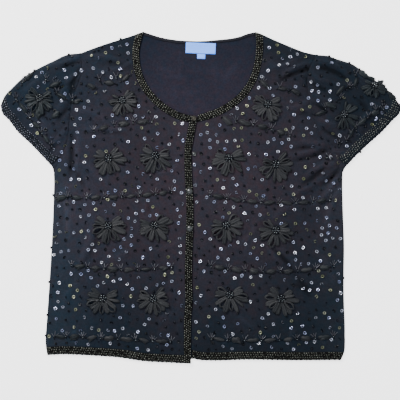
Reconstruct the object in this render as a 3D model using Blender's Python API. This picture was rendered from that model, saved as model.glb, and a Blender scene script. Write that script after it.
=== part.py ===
"""Short-sleeved beaded cardigan, laid flat on its back with the fronts closed.

X runs across the garment to the viewer's right, Y from the hem up to the neck, and Z up from the surface.
Right and left in a name are the wearer's, so right is at the viewer's left, on the minus X side.
Sizes are in millimetres up to the point where a mesh is made, and the meshes are in metres.
"""
import math

import bmesh
import bpy
import numpy as np
from mathutils import Vector
from mathutils.geometry import delaunay_2d_cdt

for leftover in list(bpy.data.objects):
    bpy.data.objects.remove(leftover, do_unlink=True)

MM = 0.001

# Thickness of each layer, and the gap that parts two layers or two sewn edges
BACK_WALL = 1.4
FRONT_WALL = 1.3
SLEEVE_WALL = 1.6
SEAM = 0.3
SLEEVE_SLOT = 0.4
FOLD_WALL = 2.2
SLOT_END = 4.0
SLOT_OVERRUN = 2.0
TRIM_WALL = 1.2
TRIM_CROWN = 0.5
BINDING_WALL = 1.0
LABEL_WALL = 1.0

# Widths of the bands that edge the garment
NECK_TRIM = 12.0
EDGE_TRIM = 12.0
HEM_TRIM = 14.0
CUFF_TRIM = 13.0
BINDING = 5.0

# How far the upper cloth stands off the cloth below it, and how soon it comes down again at an edge
BODY_PUFF = 1.1
SLEEVE_PUFF = 1.9
MOST_LIFT = 3.4
EDGE_FADE = 20.0
GATHER_FADE = 12.0

# Where the right front lies on the left one's edge, and the slope by which it climbs there
OVERLAP_COVER = 24.0
OVERLAP_RISE_START = -44.0
OVERLAP_RISE_WIDTH = 12.0
RISE_ROWS = 4
RISE_LOW_END = -262.0
RISE_HIGH_END = 126.0

# Distance between the points of curved edges and of the sheets, and how near two points may come
CURVE_STEP = 12.0
TOP_STEP = 16.0
UNDER_STEP = 18.0
SLEEVE_STEP = 11.0
FOLD_STEP = 13.0
CLEAR_OF_MOTIF = 5.0
CLEAR_OF_CORNER = 5.0
SAME_POINT = 0.05

# Edges of the garment as it lies, seen from above; the columns are x and y
RIGHT_SHOULDER = ((-97, 281), (-124, 272), (-151, 263.5), (-178, 254.5), (-204, 244.5))
RIGHT_ARMHOLE = ((-204, 244.5), (-202, 215), (-209, 192), (-218, 166), (-223, 132), (-226, 100), (-236, 72),
                 (-249, 44))
RIGHT_SIDE = ((-249, 44), (-249, 20), (-251, -42), (-253, -82), (-257.5, -154), (-261, -205), (-263.5, -246),
              (-260, -267))
RIGHT_HEM = ((-260, -267), (-233, -265.5), (-178, -268), (-138, -271), (-97, -277), (-56, -279.5),
             (-31.5, -280.5), (-17, -281))
RIGHT_FRONT_EDGE = ((-6, 136), (-9, 122), (-12.6, 100), (-15.6, 84), (-16.2, 64), (-15, 30), (-13.1, -4),
                    (-12.8, -40), (-14.5, -90), (-15.3, -140), (-14.3, -174), (-16.8, -208), (-17, -281))
RIGHT_NECK = ((-97, 281), (-104, 252), (-103, 225), (-95.5, 200), (-82, 179), (-64, 161), (-38, 145),
              (-6, 136))

LEFT_SHOULDER = ((92, 280.5), (99, 278.6), (107, 275), (121, 268.5), (148, 257), (175, 246.5), (195.5, 242))
LEFT_ARMHOLE = ((195.5, 242), (184, 218), (181, 198), (182, 180), (186, 155), (199, 115), (219, 77),
                (240, 44))
LEFT_SIDE = ((240, 44), (239.5, 20), (240.5, -21), (242.5, -82), (242, -123), (242, -164), (244, -235),
             (243, -261), (237, -275))
LEFT_HEM = ((237, -275), (189, -275.5), (148, -275.5), (80, -274.5), (25, -276), (-2, -275), (-15.7, -272),
            (-30, -271))
LEFT_FRONT_EDGE = ((-26, 134), (-28.5, 60), (-29, -155), (-30, -270))
LEFT_NECK = ((92, 280.5), (93.5, 259), (92, 238), (87.5, 217), (79, 196), (62, 174), (32, 153),
             (-5, 139.8), (-26, 134))

BACK_NECK = ((-97, 281), (-83, 276), (-70, 272), (-42, 267), (-2, 265), (26, 267), (53, 270), (66, 273),
             (80, 278), (92, 280.5))
BACK_HEM = ((-261.5, -263), (-178, -265), (-100, -271), (-40, -274), (20, -272.5), (80, -271), (150, -272),
            (238, -268))

RIGHT_SLEEVE_TOP = ((-204, 244.5), (-219, 243.5), (-233, 240), (-247, 233), (-262, 226), (-283, 215),
                    (-302, 203), (-322, 184), (-333, 172), (-339.5, 156))
RIGHT_CUFF = ((-339.5, 156), (-335.5, 142), (-325.5, 132), (-310, 111.5), (-288, 91), (-269, 71), (-254, 55))
RIGHT_UNDERARM = ((-254, 55), (-249, 44))
LEFT_SLEEVE_TOP = ((195.5, 242), (216, 240), (230, 235), (243, 231), (257, 226), (270, 217), (284, 207),
                   (297.5, 197), (311, 187), (325, 173.5), (339.5, 153))
LEFT_CUFF = ((339.5, 153), (335, 141), (325.5, 132), (306.5, 111.5), (283.5, 91), (262.5, 71), (247, 54.5))
LEFT_UNDERARM = ((247, 54.5), (240, 44))

# Where the ends of a band are cut, at a seam, a mitre or the other front. Each end has its outer corner
# and its inner corner, as x and y.
RIGHT_NECK_TRIM_ENDS = (((-97, 281), (-110.3, 276.4)), ((-6.5, 136.2), (-20.9, 128.0)))
LEFT_NECK_TRIM_ENDS = (((92, 280.5), (104.2, 276.2)), ((-5, 139.8), (-7, 128)))
RIGHT_EDGE_TRIM_ENDS = (((-6.1, 135.5), (-20.2, 126.9)), ((-17, -281), (-29, -280.5)))
RIGHT_HEM_TRIM_ENDS = (((-260, -267), (-262.6, -253)), ((-29.7, -280.6), (-29.5, -266.5)))
LEFT_HEM_TRIM_ENDS = (((237, -275), (242.7, -261.5)), ((-15.7, -272), (-15.4, -258)))
RIGHT_CUFF_TRIM_ENDS = (((-339.5, 156), (-331.6, 169.5)), ((-254, 55), (-239.5, 69.5)))
LEFT_CUFF_TRIM_ENDS = (((339.5, 153), (329.5, 166.5)), ((247, 54.5), (230.5, 67)))
BINDING_ENDS = (((-96, 280.4), (-96.4, 275)), ((91, 280), (91.4, 274.5)))

# Folds and creases of the upper cloth; the columns are x and y where one starts, x and y where it ends,
# its half width, and its height, which is negative for a trough
RIGHT_FRONT_FOLDS = (
    (-222, 112, -227, -58, 15, -1.0),
    (-207, 116, -211, -50, 18, 1.5),
    (-180, -28, -215, -124, 18, 1.2),
    (-54, -124, -88, -167, 16, -1.0),
)
LEFT_FRONT_FOLDS = (
    (231, 70, 120, -32, 17, 2.1),
    (234, 52, 116, -52, 15, -1.1),
    (222, 84, 160, 104, 15, 1.4),
    (108, -62, 168, -150, 17, 1.3),
    (154, -145, 190, -175, 13, -0.9),
)
RIGHT_SLEEVE_FOLDS = (
    (-206, 233, -238, 224, 8, 1.4),
    (-205, 217, -246, 205, 9, -1.3),
    (-207, 203, -243, 187, 9, 1.5),
    (-214, 186, -250, 162, 10, -1.2),
    (-220, 170, -246, 142, 10, 1.2),
    (-226, 130, -262, 104, 12, 1.0),
)
LEFT_SLEEVE_FOLDS = (
    (193, 231, 232, 226, 8, 1.4),
    (186, 213, 222, 219, 8, -1.5),
    (220, 219, 258, 196, 10, -1.4),
    (184, 200, 226, 199, 9, 1.5),
    (184, 184, 212, 172, 9, -1.4),
    (188, 160, 210, 138, 11, 1.3),
    (206, 112, 238, 96, 11, 1.0),
)

# Ribbon flowers: the columns are the middle's x and y, how far the flower is turned in degrees, and its size
RIGHT_FRONT_FLOWERS = (
    (-157, 67, 6, 1.0), (-77, 71.5, -10, 1.0), (-157, -47.5, 0, 1.0), (-79, -46.5, 12, 1.0),
    (-166, -170, -6, 1.0), (-81, -170.5, 8, 0.97), (-133.5, 165, 18, 0.88),
)
LEFT_FRONT_FLOWERS = (
    (47, 67, -4, 1.0), (126.5, 57, 10, 1.0), (42.5, -46.5, 14, 1.0), (126.5, -55, -12, 1.0),
    (49, -164, 4, 1.0), (135, -170.5, -8, 1.0), (113, 158, -16, 0.95),
)
RIGHT_SLEEVE_FLOWERS = ((-273, 168.5, -12, 0.9),)
LEFT_SLEEVE_FLOWERS = ((242, 141, 40, 0.85), (292.5, 189.5, 8, 0.74))
PETAL_ANGLES = (-126, -105, -84, -63, -42, -21, 0, 21, 42, 63, 84, 105, 126)
PETAL_START = 8.0
PETAL_END = 31.5
UPPER_PETAL_SHARE = 0.84
PETAL_HALF_WIDTH = 3.4
PETAL_RISE = 1.7
CLUSTER_RADIUS = 6.0
CLUSTER_RISE = 3.2
CLUSTER_SIDES = 8
MOTIF_MARGIN = 1.0

# Vines: x and y of the first, middle and last bead spray of a row, and how many sprays it has.
# A ribbon leaf lies half way between two sprays.
RIGHT_FRONT_VINES = (
    ((-182, 113), (-131, 125), (-83, 128.5), 4),
    ((-226, 0), (-133, 1.5), (-51, 9.5), 7),
    ((-219, -114.5), (-136, -121.5), (-49, -118), 7),
    ((-228, -235), (-141, -239), (-51, -244), 7),
)
LEFT_FRONT_VINES = (
    ((59.5, 128.5), (104, 120), (151, 105), 4),
    ((15, 4.5), (116, -8.5), (219, -4), 8),
    ((17, -116), (119, -125), (224, -116), 8),
    ((17, -239), (117, -241), (224, -235), 8),
)
RIGHT_SLEEVE_VINES = (((-313, 167), (-279, 122), (-254, 88), 4),)
LEFT_SLEEVE_VINES = (((308, 150), (272, 128), (246, 96), 4),)

# Leaves that lie apart from the rows: x and y of the middle, and the angle in degrees
RIGHT_FRONT_LEAVES = ((-127.5, 202.5, 35), (-155.5, 194, -3), (-185.5, 188, -15))
LEFT_FRONT_LEAVES = ((107, 192.5, -32), (138, 184, -3), (160, 179, -32), (44, 130, -35))
RIGHT_SLEEVE_LEAVES = ((-247, 191, 20), (-236, 171, -28))
LEFT_SLEEVE_LEAVES = ((219, 156, -20), (236, 182, 55), (262, 195, 62))
LEAF_LENGTH = 19.0
LEAF_HALF_WIDTH = 3.8
LEAF_RISE = 1.2

# Label inside the back neck and its size tab: x and y of the middle, width, height and tilt in degrees
LABEL = (-0.5, 253.1, 51.0, 18.4, -2.4)
SIZE_TAB = (0.4, 239.3, 14.0, 8.4, -2.4)
LABEL_STEP = 4.0
LABEL_BEND_START = 7.5
LABEL_BEND_WIDTH = 4.0

# Buttons on the closing band: x, y, radius and height. The loose one lies beside it, on the left front.
BUTTONS = (
    ("button_1", -12.0, 134.0, 4.6, 2.2),
    ("button_2", -11.7, 74.0, 4.0, 2.4),
    ("button_3", -19.5, 10.5, 5.6, 3.4),
    ("button_4", -19.2, -52.5, 5.6, 3.4),
)
LOOSE_BUTTON = "button_2"
BUTTON_STEPS = 20
BUTTON_RIM = 0.8
DOME_SHARE = 0.86
DOME_ANGLES = (0, 25, 50, 75, 90)

# Base colours, linear
CLOTH = (0.030, 0.027, 0.034)
BAND = (0.040, 0.036, 0.022)
LABEL_CLOTH = (0.72, 0.80, 0.92)
BUTTON_GREY = (0.20, 0.21, 0.21)
BUTTON_BRASS = (0.25, 0.23, 0.16)


def smooth_curve(points, step=CURVE_STEP):
    """Points about one step apart on a smooth curve through the given ones."""
    given = [Vector(point) for point in points]
    reach = [0.0]
    for before, after in zip(given, given[1:]):
        reach.append(reach[-1] + (after - before).length)
    slopes = []
    for index in range(len(given)):
        low = max(index - 1, 0)
        high = min(index + 1, len(given) - 1)
        slopes.append((given[high] - given[low]) / (reach[high] - reach[low]))
    curve = []
    for index in range(len(given) - 1):
        span = reach[index + 1] - reach[index]
        count = max(1, round(span / step))
        for part in range(count):
            t = part / count
            curve.append(
                given[index] * (2 * t**3 - 3 * t**2 + 1)
                + slopes[index] * span * (t**3 - 2 * t**2 + t)
                + given[index + 1] * (3 * t**2 - 2 * t**3)
                + slopes[index + 1] * span * (t**3 - t**2)
            )
    curve.append(given[-1])
    return curve


def offset_curve(curve, distance):
    """The curve moved sideways, to the left of its direction where the distance is positive."""
    moved = []
    for index, point in enumerate(curve):
        ahead = curve[min(index + 1, len(curve) - 1)] - curve[max(index - 1, 0)]
        ahead.normalize()
        moved.append(point + Vector((-ahead.y, ahead.x)) * distance)
    return moved


def closed_outline(*curves):
    """One counter-clockwise loop from curves that follow each other."""
    loop = []
    for point in [point for curve in curves for point in curve]:
        if not loop or (point - loop[-1]).length > SAME_POINT:
            loop.append(point)
    if (loop[0] - loop[-1]).length < SAME_POINT:
        loop.pop()
    area = sum(a.x * b.y - b.x * a.y for a, b in zip(loop, loop[1:] + loop[:1]))
    return loop if area > 0 else loop[::-1]


def soft_step(value):
    """0 below 0, 1 above 1, and a smooth rise between."""
    value = min(max(value, 0.0), 1.0)
    return value * value * (3 - 2 * value)


def distance_to(curve):
    """A function that gives how far a point lies from the curve."""
    points = np.array([tuple(point) for point in curve])
    starts = points[:-1]
    runs = points[1:] - starts
    squares = (runs**2).sum(axis=1)

    def distance(x, y):
        to_point = np.array((x, y)) - starts
        share = np.clip((to_point * runs).sum(axis=1) / squares, 0, 1)
        return float(np.hypot(*(to_point - runs * share[:, None]).T).min())

    return distance


def inside(x, y, outline):
    """Whether a point lies within the outline."""
    found = False
    for a, b in zip(outline, outline[1:] + outline[:1]):
        if (a.y > y) != (b.y > y) and x < a.x + (y - a.y) * (b.x - a.x) / (b.y - a.y):
            found = not found
    return found


def fold_height(x, y, folds):
    """Height of all the folds at a point, each highest along its middle and gone at its ends."""
    total = 0.0
    for start_x, start_y, end_x, end_y, half_width, height in folds:
        run = Vector((end_x - start_x, end_y - start_y))
        offset = Vector((x - start_x, y - start_y))
        share = offset.dot(run) / run.length_squared
        across = abs(offset.x * run.y - offset.y * run.x) / run.length
        if 0 < share < 1 and across < half_width:
            total += height * math.sin(math.pi * share) * (1 + math.cos(math.pi * across / half_width)) / 2
    return total


def cloth_lift(edges, puff, folds):
    """How far a cloth stands off what is below it; each edge has the width over which it lies flat."""
    reaches = [(distance_to(curve), flat, fade) for curve, flat, fade in edges]

    def lift(x, y):
        fade_in = 1.0
        for distance, flat, fade in reaches:
            fade_in *= soft_step((distance(x, y) - flat) / fade)
        return min(max(fade_in * (puff + fold_height(x, y, folds)), 0.0), MOST_LIFT)

    return lift


def petal(x, y, angle, start, end):
    """A pointed ribbon loop that leaves the flower's middle at an angle from straight down."""
    length = end - start
    profile = ((0, 0), (0.35, 0.8), (0.75, 1), (1, 0), (0.75, -1), (0.35, -0.8))
    half_width = PETAL_HALF_WIDTH * end / PETAL_END
    rim = [(start + length * along, half_width * across, 0.0) for along, across in profile]
    crest = ((0.35, 0.8), (0.75, 1.0))
    ridge = [(start + length * along, 0.0, PETAL_RISE * rise) for along, rise in crest]
    return placed(rim, ridge, x, y, math.radians(angle - 90))


def leaf(x, y, angle):
    """A ribbon leaf, lens shaped, lying along the vine."""
    profile = ((-0.5, 0), (-0.17, -1), (0.17, -1), (0.5, 0), (0.17, 1), (-0.17, 1))
    rim = [(LEAF_LENGTH * along, LEAF_HALF_WIDTH * across, 0.0) for along, across in profile]
    ridge = [(LEAF_LENGTH * along, 0.0, LEAF_RISE) for along in (-0.17, 0.17)]
    return placed(rim, ridge, x, y, angle)


def bead_cluster(x, y, size):
    """The low dome of beads in a flower's middle."""
    turn = 2 * math.pi / CLUSTER_SIDES
    radius = CLUSTER_RADIUS * size
    sides = range(CLUSTER_SIDES)
    rim = [(radius * math.cos(side * turn), radius * math.sin(side * turn), 0.0) for side in sides]
    return placed(rim, [(0.0, 0.0, CLUSTER_RISE)], x, y, 0.0)


def placed(rim, ridge, x, y, angle):
    """A motif turned and moved to its place: its closed rim, and the raised points inside that."""
    cosine = math.cos(angle)
    sine = math.sin(angle)
    points = [
        (x + along * cosine - across * sine, y + along * sine + across * cosine, rise)
        for along, across, rise in rim + ridge
    ]
    return points, [(index, (index + 1) % len(rim)) for index in range(len(rim))]


def vine_leaves(vines):
    """A leaf half way between each two bead sprays of the rows."""
    leaves = []
    for first, middle, last, sprays in vines:
        first, middle, last = Vector(first), Vector(middle), Vector(last)
        control = 2 * middle - (first + last) / 2
        for gap in range(sprays - 1):
            t = (gap + 0.5) / (sprays - 1)
            point = first * (1 - t) ** 2 + control * 2 * t * (1 - t) + last * t**2
            ahead = (control - first) * (1 - t) + (last - control) * t
            leaves.append(leaf(point.x, point.y, math.atan2(ahead.y, ahead.x)))
    return leaves


def motifs(flowers, vines, leaves, outline):
    """All raised flowers and leaves of one piece that lie whole within its outline."""
    found = vine_leaves(vines)
    found.extend(leaf(x, y, math.radians(turn)) for x, y, turn in leaves)
    for x, y, turn, size in flowers:
        found.append(bead_cluster(x, y, size))
        for angle in PETAL_ANGLES:
            end = PETAL_END * size * (UPPER_PETAL_SHARE if abs(angle) > 90 else 1.0)
            found.append(petal(x, y, angle + turn, PETAL_START * size, end))
    near_edge = distance_to(outline + outline[:1])
    return [
        motif for motif in found
        if all(inside(x, y, outline) and near_edge(x, y) > MOTIF_MARGIN for x, y, rise in motif[0])
    ]


def sewn_line(curve):
    """The inner edge of a band, as points that the cloth below shares with it."""
    points = [(point.x, point.y, 0.0) for point in curve]
    return points, [(index, index + 1) for index in range(len(points) - 1)]


def fold_points(folds):
    """Points along the middle and both feet of each fold."""
    points = []
    for start_x, start_y, end_x, end_y, half_width, height in folds:
        start = Vector((start_x, start_y))
        run = Vector((end_x, end_y)) - start
        foot = Vector((-run.y, run.x)).normalized() * half_width
        count = max(2, round(run.length / FOLD_STEP))
        for part in range(count + 1):
            middle = start + run * part / count
            points.extend((middle, middle + foot, middle - foot))
    return points


def staggered_points(outline, step):
    """Rows of points, every other row moved by half a step, over an outline's whole extent."""
    low_x, high_x = min(p.x for p in outline), max(p.x for p in outline)
    low_y, high_y = min(p.y for p in outline), max(p.y for p in outline)
    row_height = step * math.sqrt(3) / 2
    for row in range(1, int((high_y - low_y) / row_height) + 1):
        for column in range(int((high_x - low_x) / step) + 1):
            yield Vector((low_x + (column + 0.5 * (row % 2)) * step, low_y + row * row_height))


def sheet_points(outline, step, features, bare, folds):
    """Points within an outline, clear of its edge, of its motifs, of bare bands and of each other."""
    if step is None:
        return []
    near_edge = distance_to(outline + outline[:1])
    taken = np.array([point[:2] for points, edges in features for point in points] or [(1e6, 1e6)])
    chosen = []
    for point in fold_points(folds) + list(staggered_points(outline, step)):
        clear = inside(point.x, point.y, outline) and near_edge(point.x, point.y) > step / 2
        clear = clear and all(distance(point.x, point.y) > width for distance, width in bare)
        clear = clear and np.hypot(*(taken - point).T).min() > CLEAR_OF_MOTIF
        if clear and all((point - other).length > step / 2 for other in chosen):
            chosen.append(point)
    return [(point.x, point.y, 0.0) for point in chosen]


def triangles(outline, features, extra):
    """Triangles that fill an outline through all of its points, and the raise of each point."""
    points = [(point.x, point.y, 0.0) for point in outline]
    edges = []
    for feature_points, feature_edges in features:
        start = len(points)
        points.extend(feature_points)
        edges.extend((a + start, b + start) for a, b in feature_edges)
    points.extend(extra)
    flat = [Vector(point[:2]) for point in points]
    corners, _, faces, sources, _, _ = delaunay_2d_cdt(flat, edges, [list(range(len(outline)))], 1, 1e-4)
    raised = [max((points[source][2] for source in group), default=0.0) for group in sources]
    edge_order = {source: index for index, group in enumerate(sources) for source in group}
    return corners, faces, raised, [edge_order[index] for index in range(len(outline))]


def finish(thing, color, roughness, metallic=0.0):
    """Give an object its own material."""
    material = bpy.data.materials.new(thing.name)
    material.use_nodes = True
    shader = material.node_tree.nodes["Principled BSDF"]
    shader.inputs["Base Color"].default_value = (*color, 1.0)
    shader.inputs["Roughness"].default_value = roughness
    shader.inputs["Metallic"].default_value = metallic
    thing.data.materials.append(material)


def made_object(name, mesh, color, roughness, metallic=0.0):
    """Turn a finished bmesh into a named object."""
    data = bpy.data.meshes.new(name)
    mesh.to_mesh(data)
    mesh.free()
    data.shade_smooth()
    data.set_sharp_from_angle(angle=math.radians(35))
    thing = bpy.data.objects.new(name, data)
    bpy.context.scene.collection.objects.link(thing)
    finish(thing, color, roughness, metallic)
    return thing


def cloth(name, outline, top, bottom, color, features=(), bare=(), creases=(), folds=(), top_step=TOP_STEP,
          under_step=UNDER_STEP):
    """A closed wall of cloth between two height functions.

    Features are raised or drawn in the upper side only, creases and folds are in both sides.
    """
    upper_features = list(features) + list(creases)
    upper = triangles(outline, upper_features, sheet_points(outline, top_step, upper_features, bare, folds))
    lower = triangles(outline, creases, sheet_points(outline, under_step, creases, bare, folds))
    mesh = bmesh.new()
    corners, faces, raised, upper_edge = upper
    upper_verts = [
        mesh.verts.new((p.x * MM, p.y * MM, (top(p.x, p.y) + rise) * MM)) for p, rise in zip(corners, raised)
    ]
    for face in faces:
        mesh.faces.new([upper_verts[index] for index in face])
    corners, faces, raised, lower_edge = lower
    lower_verts = [mesh.verts.new((p.x * MM, p.y * MM, bottom(p.x, p.y) * MM)) for p in corners]
    for face in faces:
        mesh.faces.new([lower_verts[index] for index in reversed(face)])
    for index in range(len(outline)):
        following = (index + 1) % len(outline)
        mesh.faces.new((
            lower_verts[lower_edge[index]],
            lower_verts[lower_edge[following]],
            upper_verts[upper_edge[following]],
            upper_verts[upper_edge[index]],
        ))
    return made_object(name, mesh, color, 0.9)


def band_sides(edge, width, ends):
    """The outer and the inner side of a band along an edge, with its end corners where they are cut."""
    (outer_start, inner_start), (outer_end, inner_end) = ends
    first, last = (
        min(range(len(edge)), key=lambda index: (edge[index] - Vector(corner)).length)
        for corner in (outer_start, outer_end)
    )
    pairs = [
        (outside, inside) for outside, inside in list(zip(edge, offset_curve(edge, width)))[first + 1:last]
        if min((inside - Vector(corner)).length for corner in (inner_start, inner_end)) > CLEAR_OF_CORNER
    ]
    outer = [Vector(outer_start)] + [outside for outside, inside in pairs] + [Vector(outer_end)]
    inner = [Vector(inner_start)] + [inside for outside, inside in pairs] + [Vector(inner_end)]
    return outer, inner


def trim(name, sides, carrier, wall=TRIM_WALL, crown=TRIM_CROWN, color=BAND):
    """A band that lies on a cloth along its edge, a little crowned along its middle."""
    outer, inner = sides
    outline = closed_outline(outer, inner[::-1])
    points, edges = sewn_line([a.lerp(b, 0.5) for a, b in zip(outer, inner)][1:-1])
    crowned = [(x, y, crown) for x, y, rise in points]

    def bottom(x, y):
        return carrier(x, y) + SEAM

    def top(x, y):
        return bottom(x, y) + wall

    cloth(name, outline, top, bottom, color, [(crowned, edges)], top_step=None, under_step=None)


def spot(points, share):
    """The point at a share of a curve's length, from 0 at its start to 1 at its end."""
    spans = [(b - a).length for a, b in zip(points, points[1:])]
    left = share * sum(spans)
    for a, b, span in zip(points, points[1:], spans):
        if left <= span:
            return a.lerp(b, left / span)
        left -= span
    return points[-1]


def open_side(curve, distance):
    """A side of the sleeve's slot: the curve moved out past the cloth's edge and cut short at both folds."""
    length = sum((b - a).length for a, b in zip(curve, curve[1:]))
    first = SLOT_END / length
    count = round(length / CURVE_STEP)
    shares = [first + (1 - 2 * first) * part / count for part in range(count + 1)]
    return offset_curve([spot(curve, share) for share in shares], distance)


def sleeve(name, armhole, cuff, top_fold, underarm, cuff_ends, side, folds, flowers, vines, leaves):
    """A short sleeve pressed flat: one closed wall round a slot that is open at the armhole and the cuff."""
    seam_side = offset_curve(smooth_curve(armhole), side * SEAM)
    cuff_side = smooth_curve(cuff)
    upper_fold = [seam_side[0]] + smooth_curve(top_fold)[1:]
    lower_fold = smooth_curve(underarm)[:-1] + [seam_side[-1]]
    outline = closed_outline(upper_fold, cuff_side, lower_fold, seam_side[::-1])
    band = band_sides(cuff_side, side * -CUFF_TRIM, cuff_ends)
    band_bounds = [band[1][0]] + cuff_side + [band[1][-1]]
    edges = (
        (seam_side, -GATHER_FADE / 3, GATHER_FADE),
        (band_bounds, CUFF_TRIM, EDGE_FADE),
        (upper_fold, 0, EDGE_FADE),
    )
    lift = cloth_lift(edges, SLEEVE_PUFF, folds)

    def slot_top(x, y):
        return BACK_WALL + SLEEVE_SLOT + lift(x, y)

    def top(x, y):
        return slot_top(x, y) + SLEEVE_WALL

    features = motifs(flowers, vines, leaves, outline) + [sewn_line(band[1][1:-1])]
    bare = [(distance_to(band_bounds), CUFF_TRIM)]
    tube = cloth(
        name, outline, top, lambda x, y: 0.0, CLOTH, features, bare, folds=folds, top_step=SLEEVE_STEP,
        under_step=None,
    )
    slot_outline = closed_outline(
        open_side(seam_side, -side * SLOT_OVERRUN),
        offset_curve(lower_fold, -side * FOLD_WALL)[::-1],
        open_side(cuff_side, side * SLOT_OVERRUN)[::-1],
        offset_curve(upper_fold, -side * FOLD_WALL)[1:-1][::-1],
    )
    slot = cloth(
        name + "_slot", slot_outline, slot_top, lambda x, y: BACK_WALL, CLOTH, folds=folds,
        top_step=SLEEVE_STEP, under_step=None,
    )
    slot.hide_render = True
    slot.display_type = "WIRE"
    tube.modifiers.new("slot", "BOOLEAN").object = slot
    trim(name.replace("sleeve", "cuff_trim"), band, top)


def back():
    """The back panel, which lies on the surface with its underside flat, and the binding of its neck."""
    neck = smooth_curve(BACK_NECK)
    outline = closed_outline(
        smooth_curve(RIGHT_SHOULDER),
        smooth_curve(RIGHT_ARMHOLE),
        smooth_curve(RIGHT_SIDE[:-1] + BACK_HEM[:1]),
        smooth_curve(BACK_HEM),
        smooth_curve(LEFT_SIDE[:-2] + BACK_HEM[-1:])[::-1],
        smooth_curve(LEFT_ARMHOLE)[::-1],
        smooth_curve(LEFT_SHOULDER)[::-1],
        neck[::-1],
    )
    cloth("back", outline, lambda x, y: BACK_WALL, lambda x, y: 0.0, CLOTH, top_step=None, under_step=None)
    sides = band_sides(neck, -BINDING, BINDING_ENDS)
    trim("back_neck_binding", sides, lambda x, y: BACK_WALL, BINDING_WALL, 0.0, CLOTH)


def rise_lines():
    """Rows of points up the slope where the right front climbs onto the left one."""
    lines = []
    for part in range(RISE_ROWS):
        x = OVERLAP_RISE_START + OVERLAP_RISE_WIDTH * part / (RISE_ROWS - 1)
        lines.append(sewn_line(smooth_curve(((x, RISE_LOW_END), (x, RISE_HIGH_END)), TOP_STEP)))
    return lines


def front(name, curves, rise, creases, trims, folds, flowers, vines, leaves):
    """One front panel, laid on the back, with the beaded bands that lie along its edges."""
    neck, edge, hem, side, armhole, shoulder = curves
    outline = closed_outline(neck, edge, hem[::-1], side[::-1], armhole[::-1], shoulder[::-1])
    flat_widths = (NECK_TRIM, OVERLAP_COVER, HEM_TRIM, 0.0, 0.0, 0.0)
    edges = [(curve, flat, EDGE_FADE) for curve, flat in zip(curves, flat_widths)]
    lift = cloth_lift(edges, BODY_PUFF, folds)

    def bottom(x, y):
        return BACK_WALL + SEAM + lift(x, y) + rise(x)

    def top(x, y):
        return bottom(x, y) + FRONT_WALL

    seams = [sewn_line(sides[1][1:-1]) for trim_name, sides in trims]
    band_widths = (NECK_TRIM, HEM_TRIM, EDGE_TRIM)
    bare = [(distance_to(sides[0]), width) for (trim_name, sides), width in zip(trims, band_widths)]
    features = motifs(flowers, vines, leaves, outline) + seams
    cloth(name, outline, top, bottom, CLOTH, features, bare, creases, folds)
    for trim_name, sides in trims:
        trim(trim_name, sides, top)
    return top


def right_front():
    """The front that lies on top; it rises where the left front's edge runs in under it."""
    curves = [
        smooth_curve(points)
        for points in (RIGHT_NECK, RIGHT_FRONT_EDGE, RIGHT_HEM, RIGHT_SIDE, RIGHT_ARMHOLE, RIGHT_SHOULDER)
    ]
    neck, edge, hem = curves[:3]
    trims = (
        ("right_neck_trim", band_sides(neck, -NECK_TRIM, RIGHT_NECK_TRIM_ENDS)),
        ("right_hem_trim", band_sides(hem, HEM_TRIM, RIGHT_HEM_TRIM_ENDS)),
        ("right_edge_trim", band_sides(edge, -EDGE_TRIM, RIGHT_EDGE_TRIM_ENDS)),
    )

    def rise(x):
        return (FRONT_WALL + SEAM) * soft_step((x - OVERLAP_RISE_START) / OVERLAP_RISE_WIDTH)

    return front(
        "right_front", curves, rise, rise_lines(), trims, RIGHT_FRONT_FOLDS, RIGHT_FRONT_FLOWERS,
        RIGHT_FRONT_VINES, RIGHT_FRONT_LEAVES,
    )


def left_front():
    """The front whose closing edge is hidden."""
    curves = [
        smooth_curve(points)
        for points in (LEFT_NECK, LEFT_FRONT_EDGE, LEFT_HEM, LEFT_SIDE, LEFT_ARMHOLE, LEFT_SHOULDER)
    ]
    neck, edge, hem = curves[:3]
    trims = (
        ("left_neck_trim", band_sides(neck, NECK_TRIM, LEFT_NECK_TRIM_ENDS)),
        ("left_hem_trim", band_sides(hem, -HEM_TRIM, LEFT_HEM_TRIM_ENDS)),
    )
    return front(
        "left_front", curves, lambda x: 0.0, (), trims, LEFT_FRONT_FOLDS, LEFT_FRONT_FLOWERS,
        LEFT_FRONT_VINES, LEFT_FRONT_LEAVES,
    )


def tilted_box(middle_x, middle_y, width, height, tilt, step):
    """The outline of a tilted rectangle, with points along its sides."""
    turn = math.radians(tilt)
    right = Vector((math.cos(turn), math.sin(turn))) * width / 2
    up = Vector((-math.sin(turn), math.cos(turn))) * height / 2
    middle = Vector((middle_x, middle_y))
    corners = [middle - right - up, middle + right - up, middle + right + up, middle - right + up]
    return closed_outline(*(smooth_curve(pair, step) for pair in zip(corners, corners[1:] + corners[:1])))


def labels():
    """The bare label and size tab inside the back neck; the label's upper edge lies on the binding."""
    from_neck = distance_to(smooth_curve(BACK_NECK))

    def bottom(x, y):
        past_binding = soft_step((from_neck(x, y) - LABEL_BEND_START) / LABEL_BEND_WIDTH)
        return BACK_WALL + SEAM + (BINDING_WALL + SEAM) * (1 - past_binding)

    def top(x, y):
        return bottom(x, y) + LABEL_WALL

    for name, size in (("label", LABEL), ("size_tab", SIZE_TAB)):
        outline = tilted_box(*size, LABEL_STEP)
        cloth(name, outline, top, bottom, LABEL_CLOTH, top_step=LABEL_STEP, under_step=LABEL_STEP)


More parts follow.
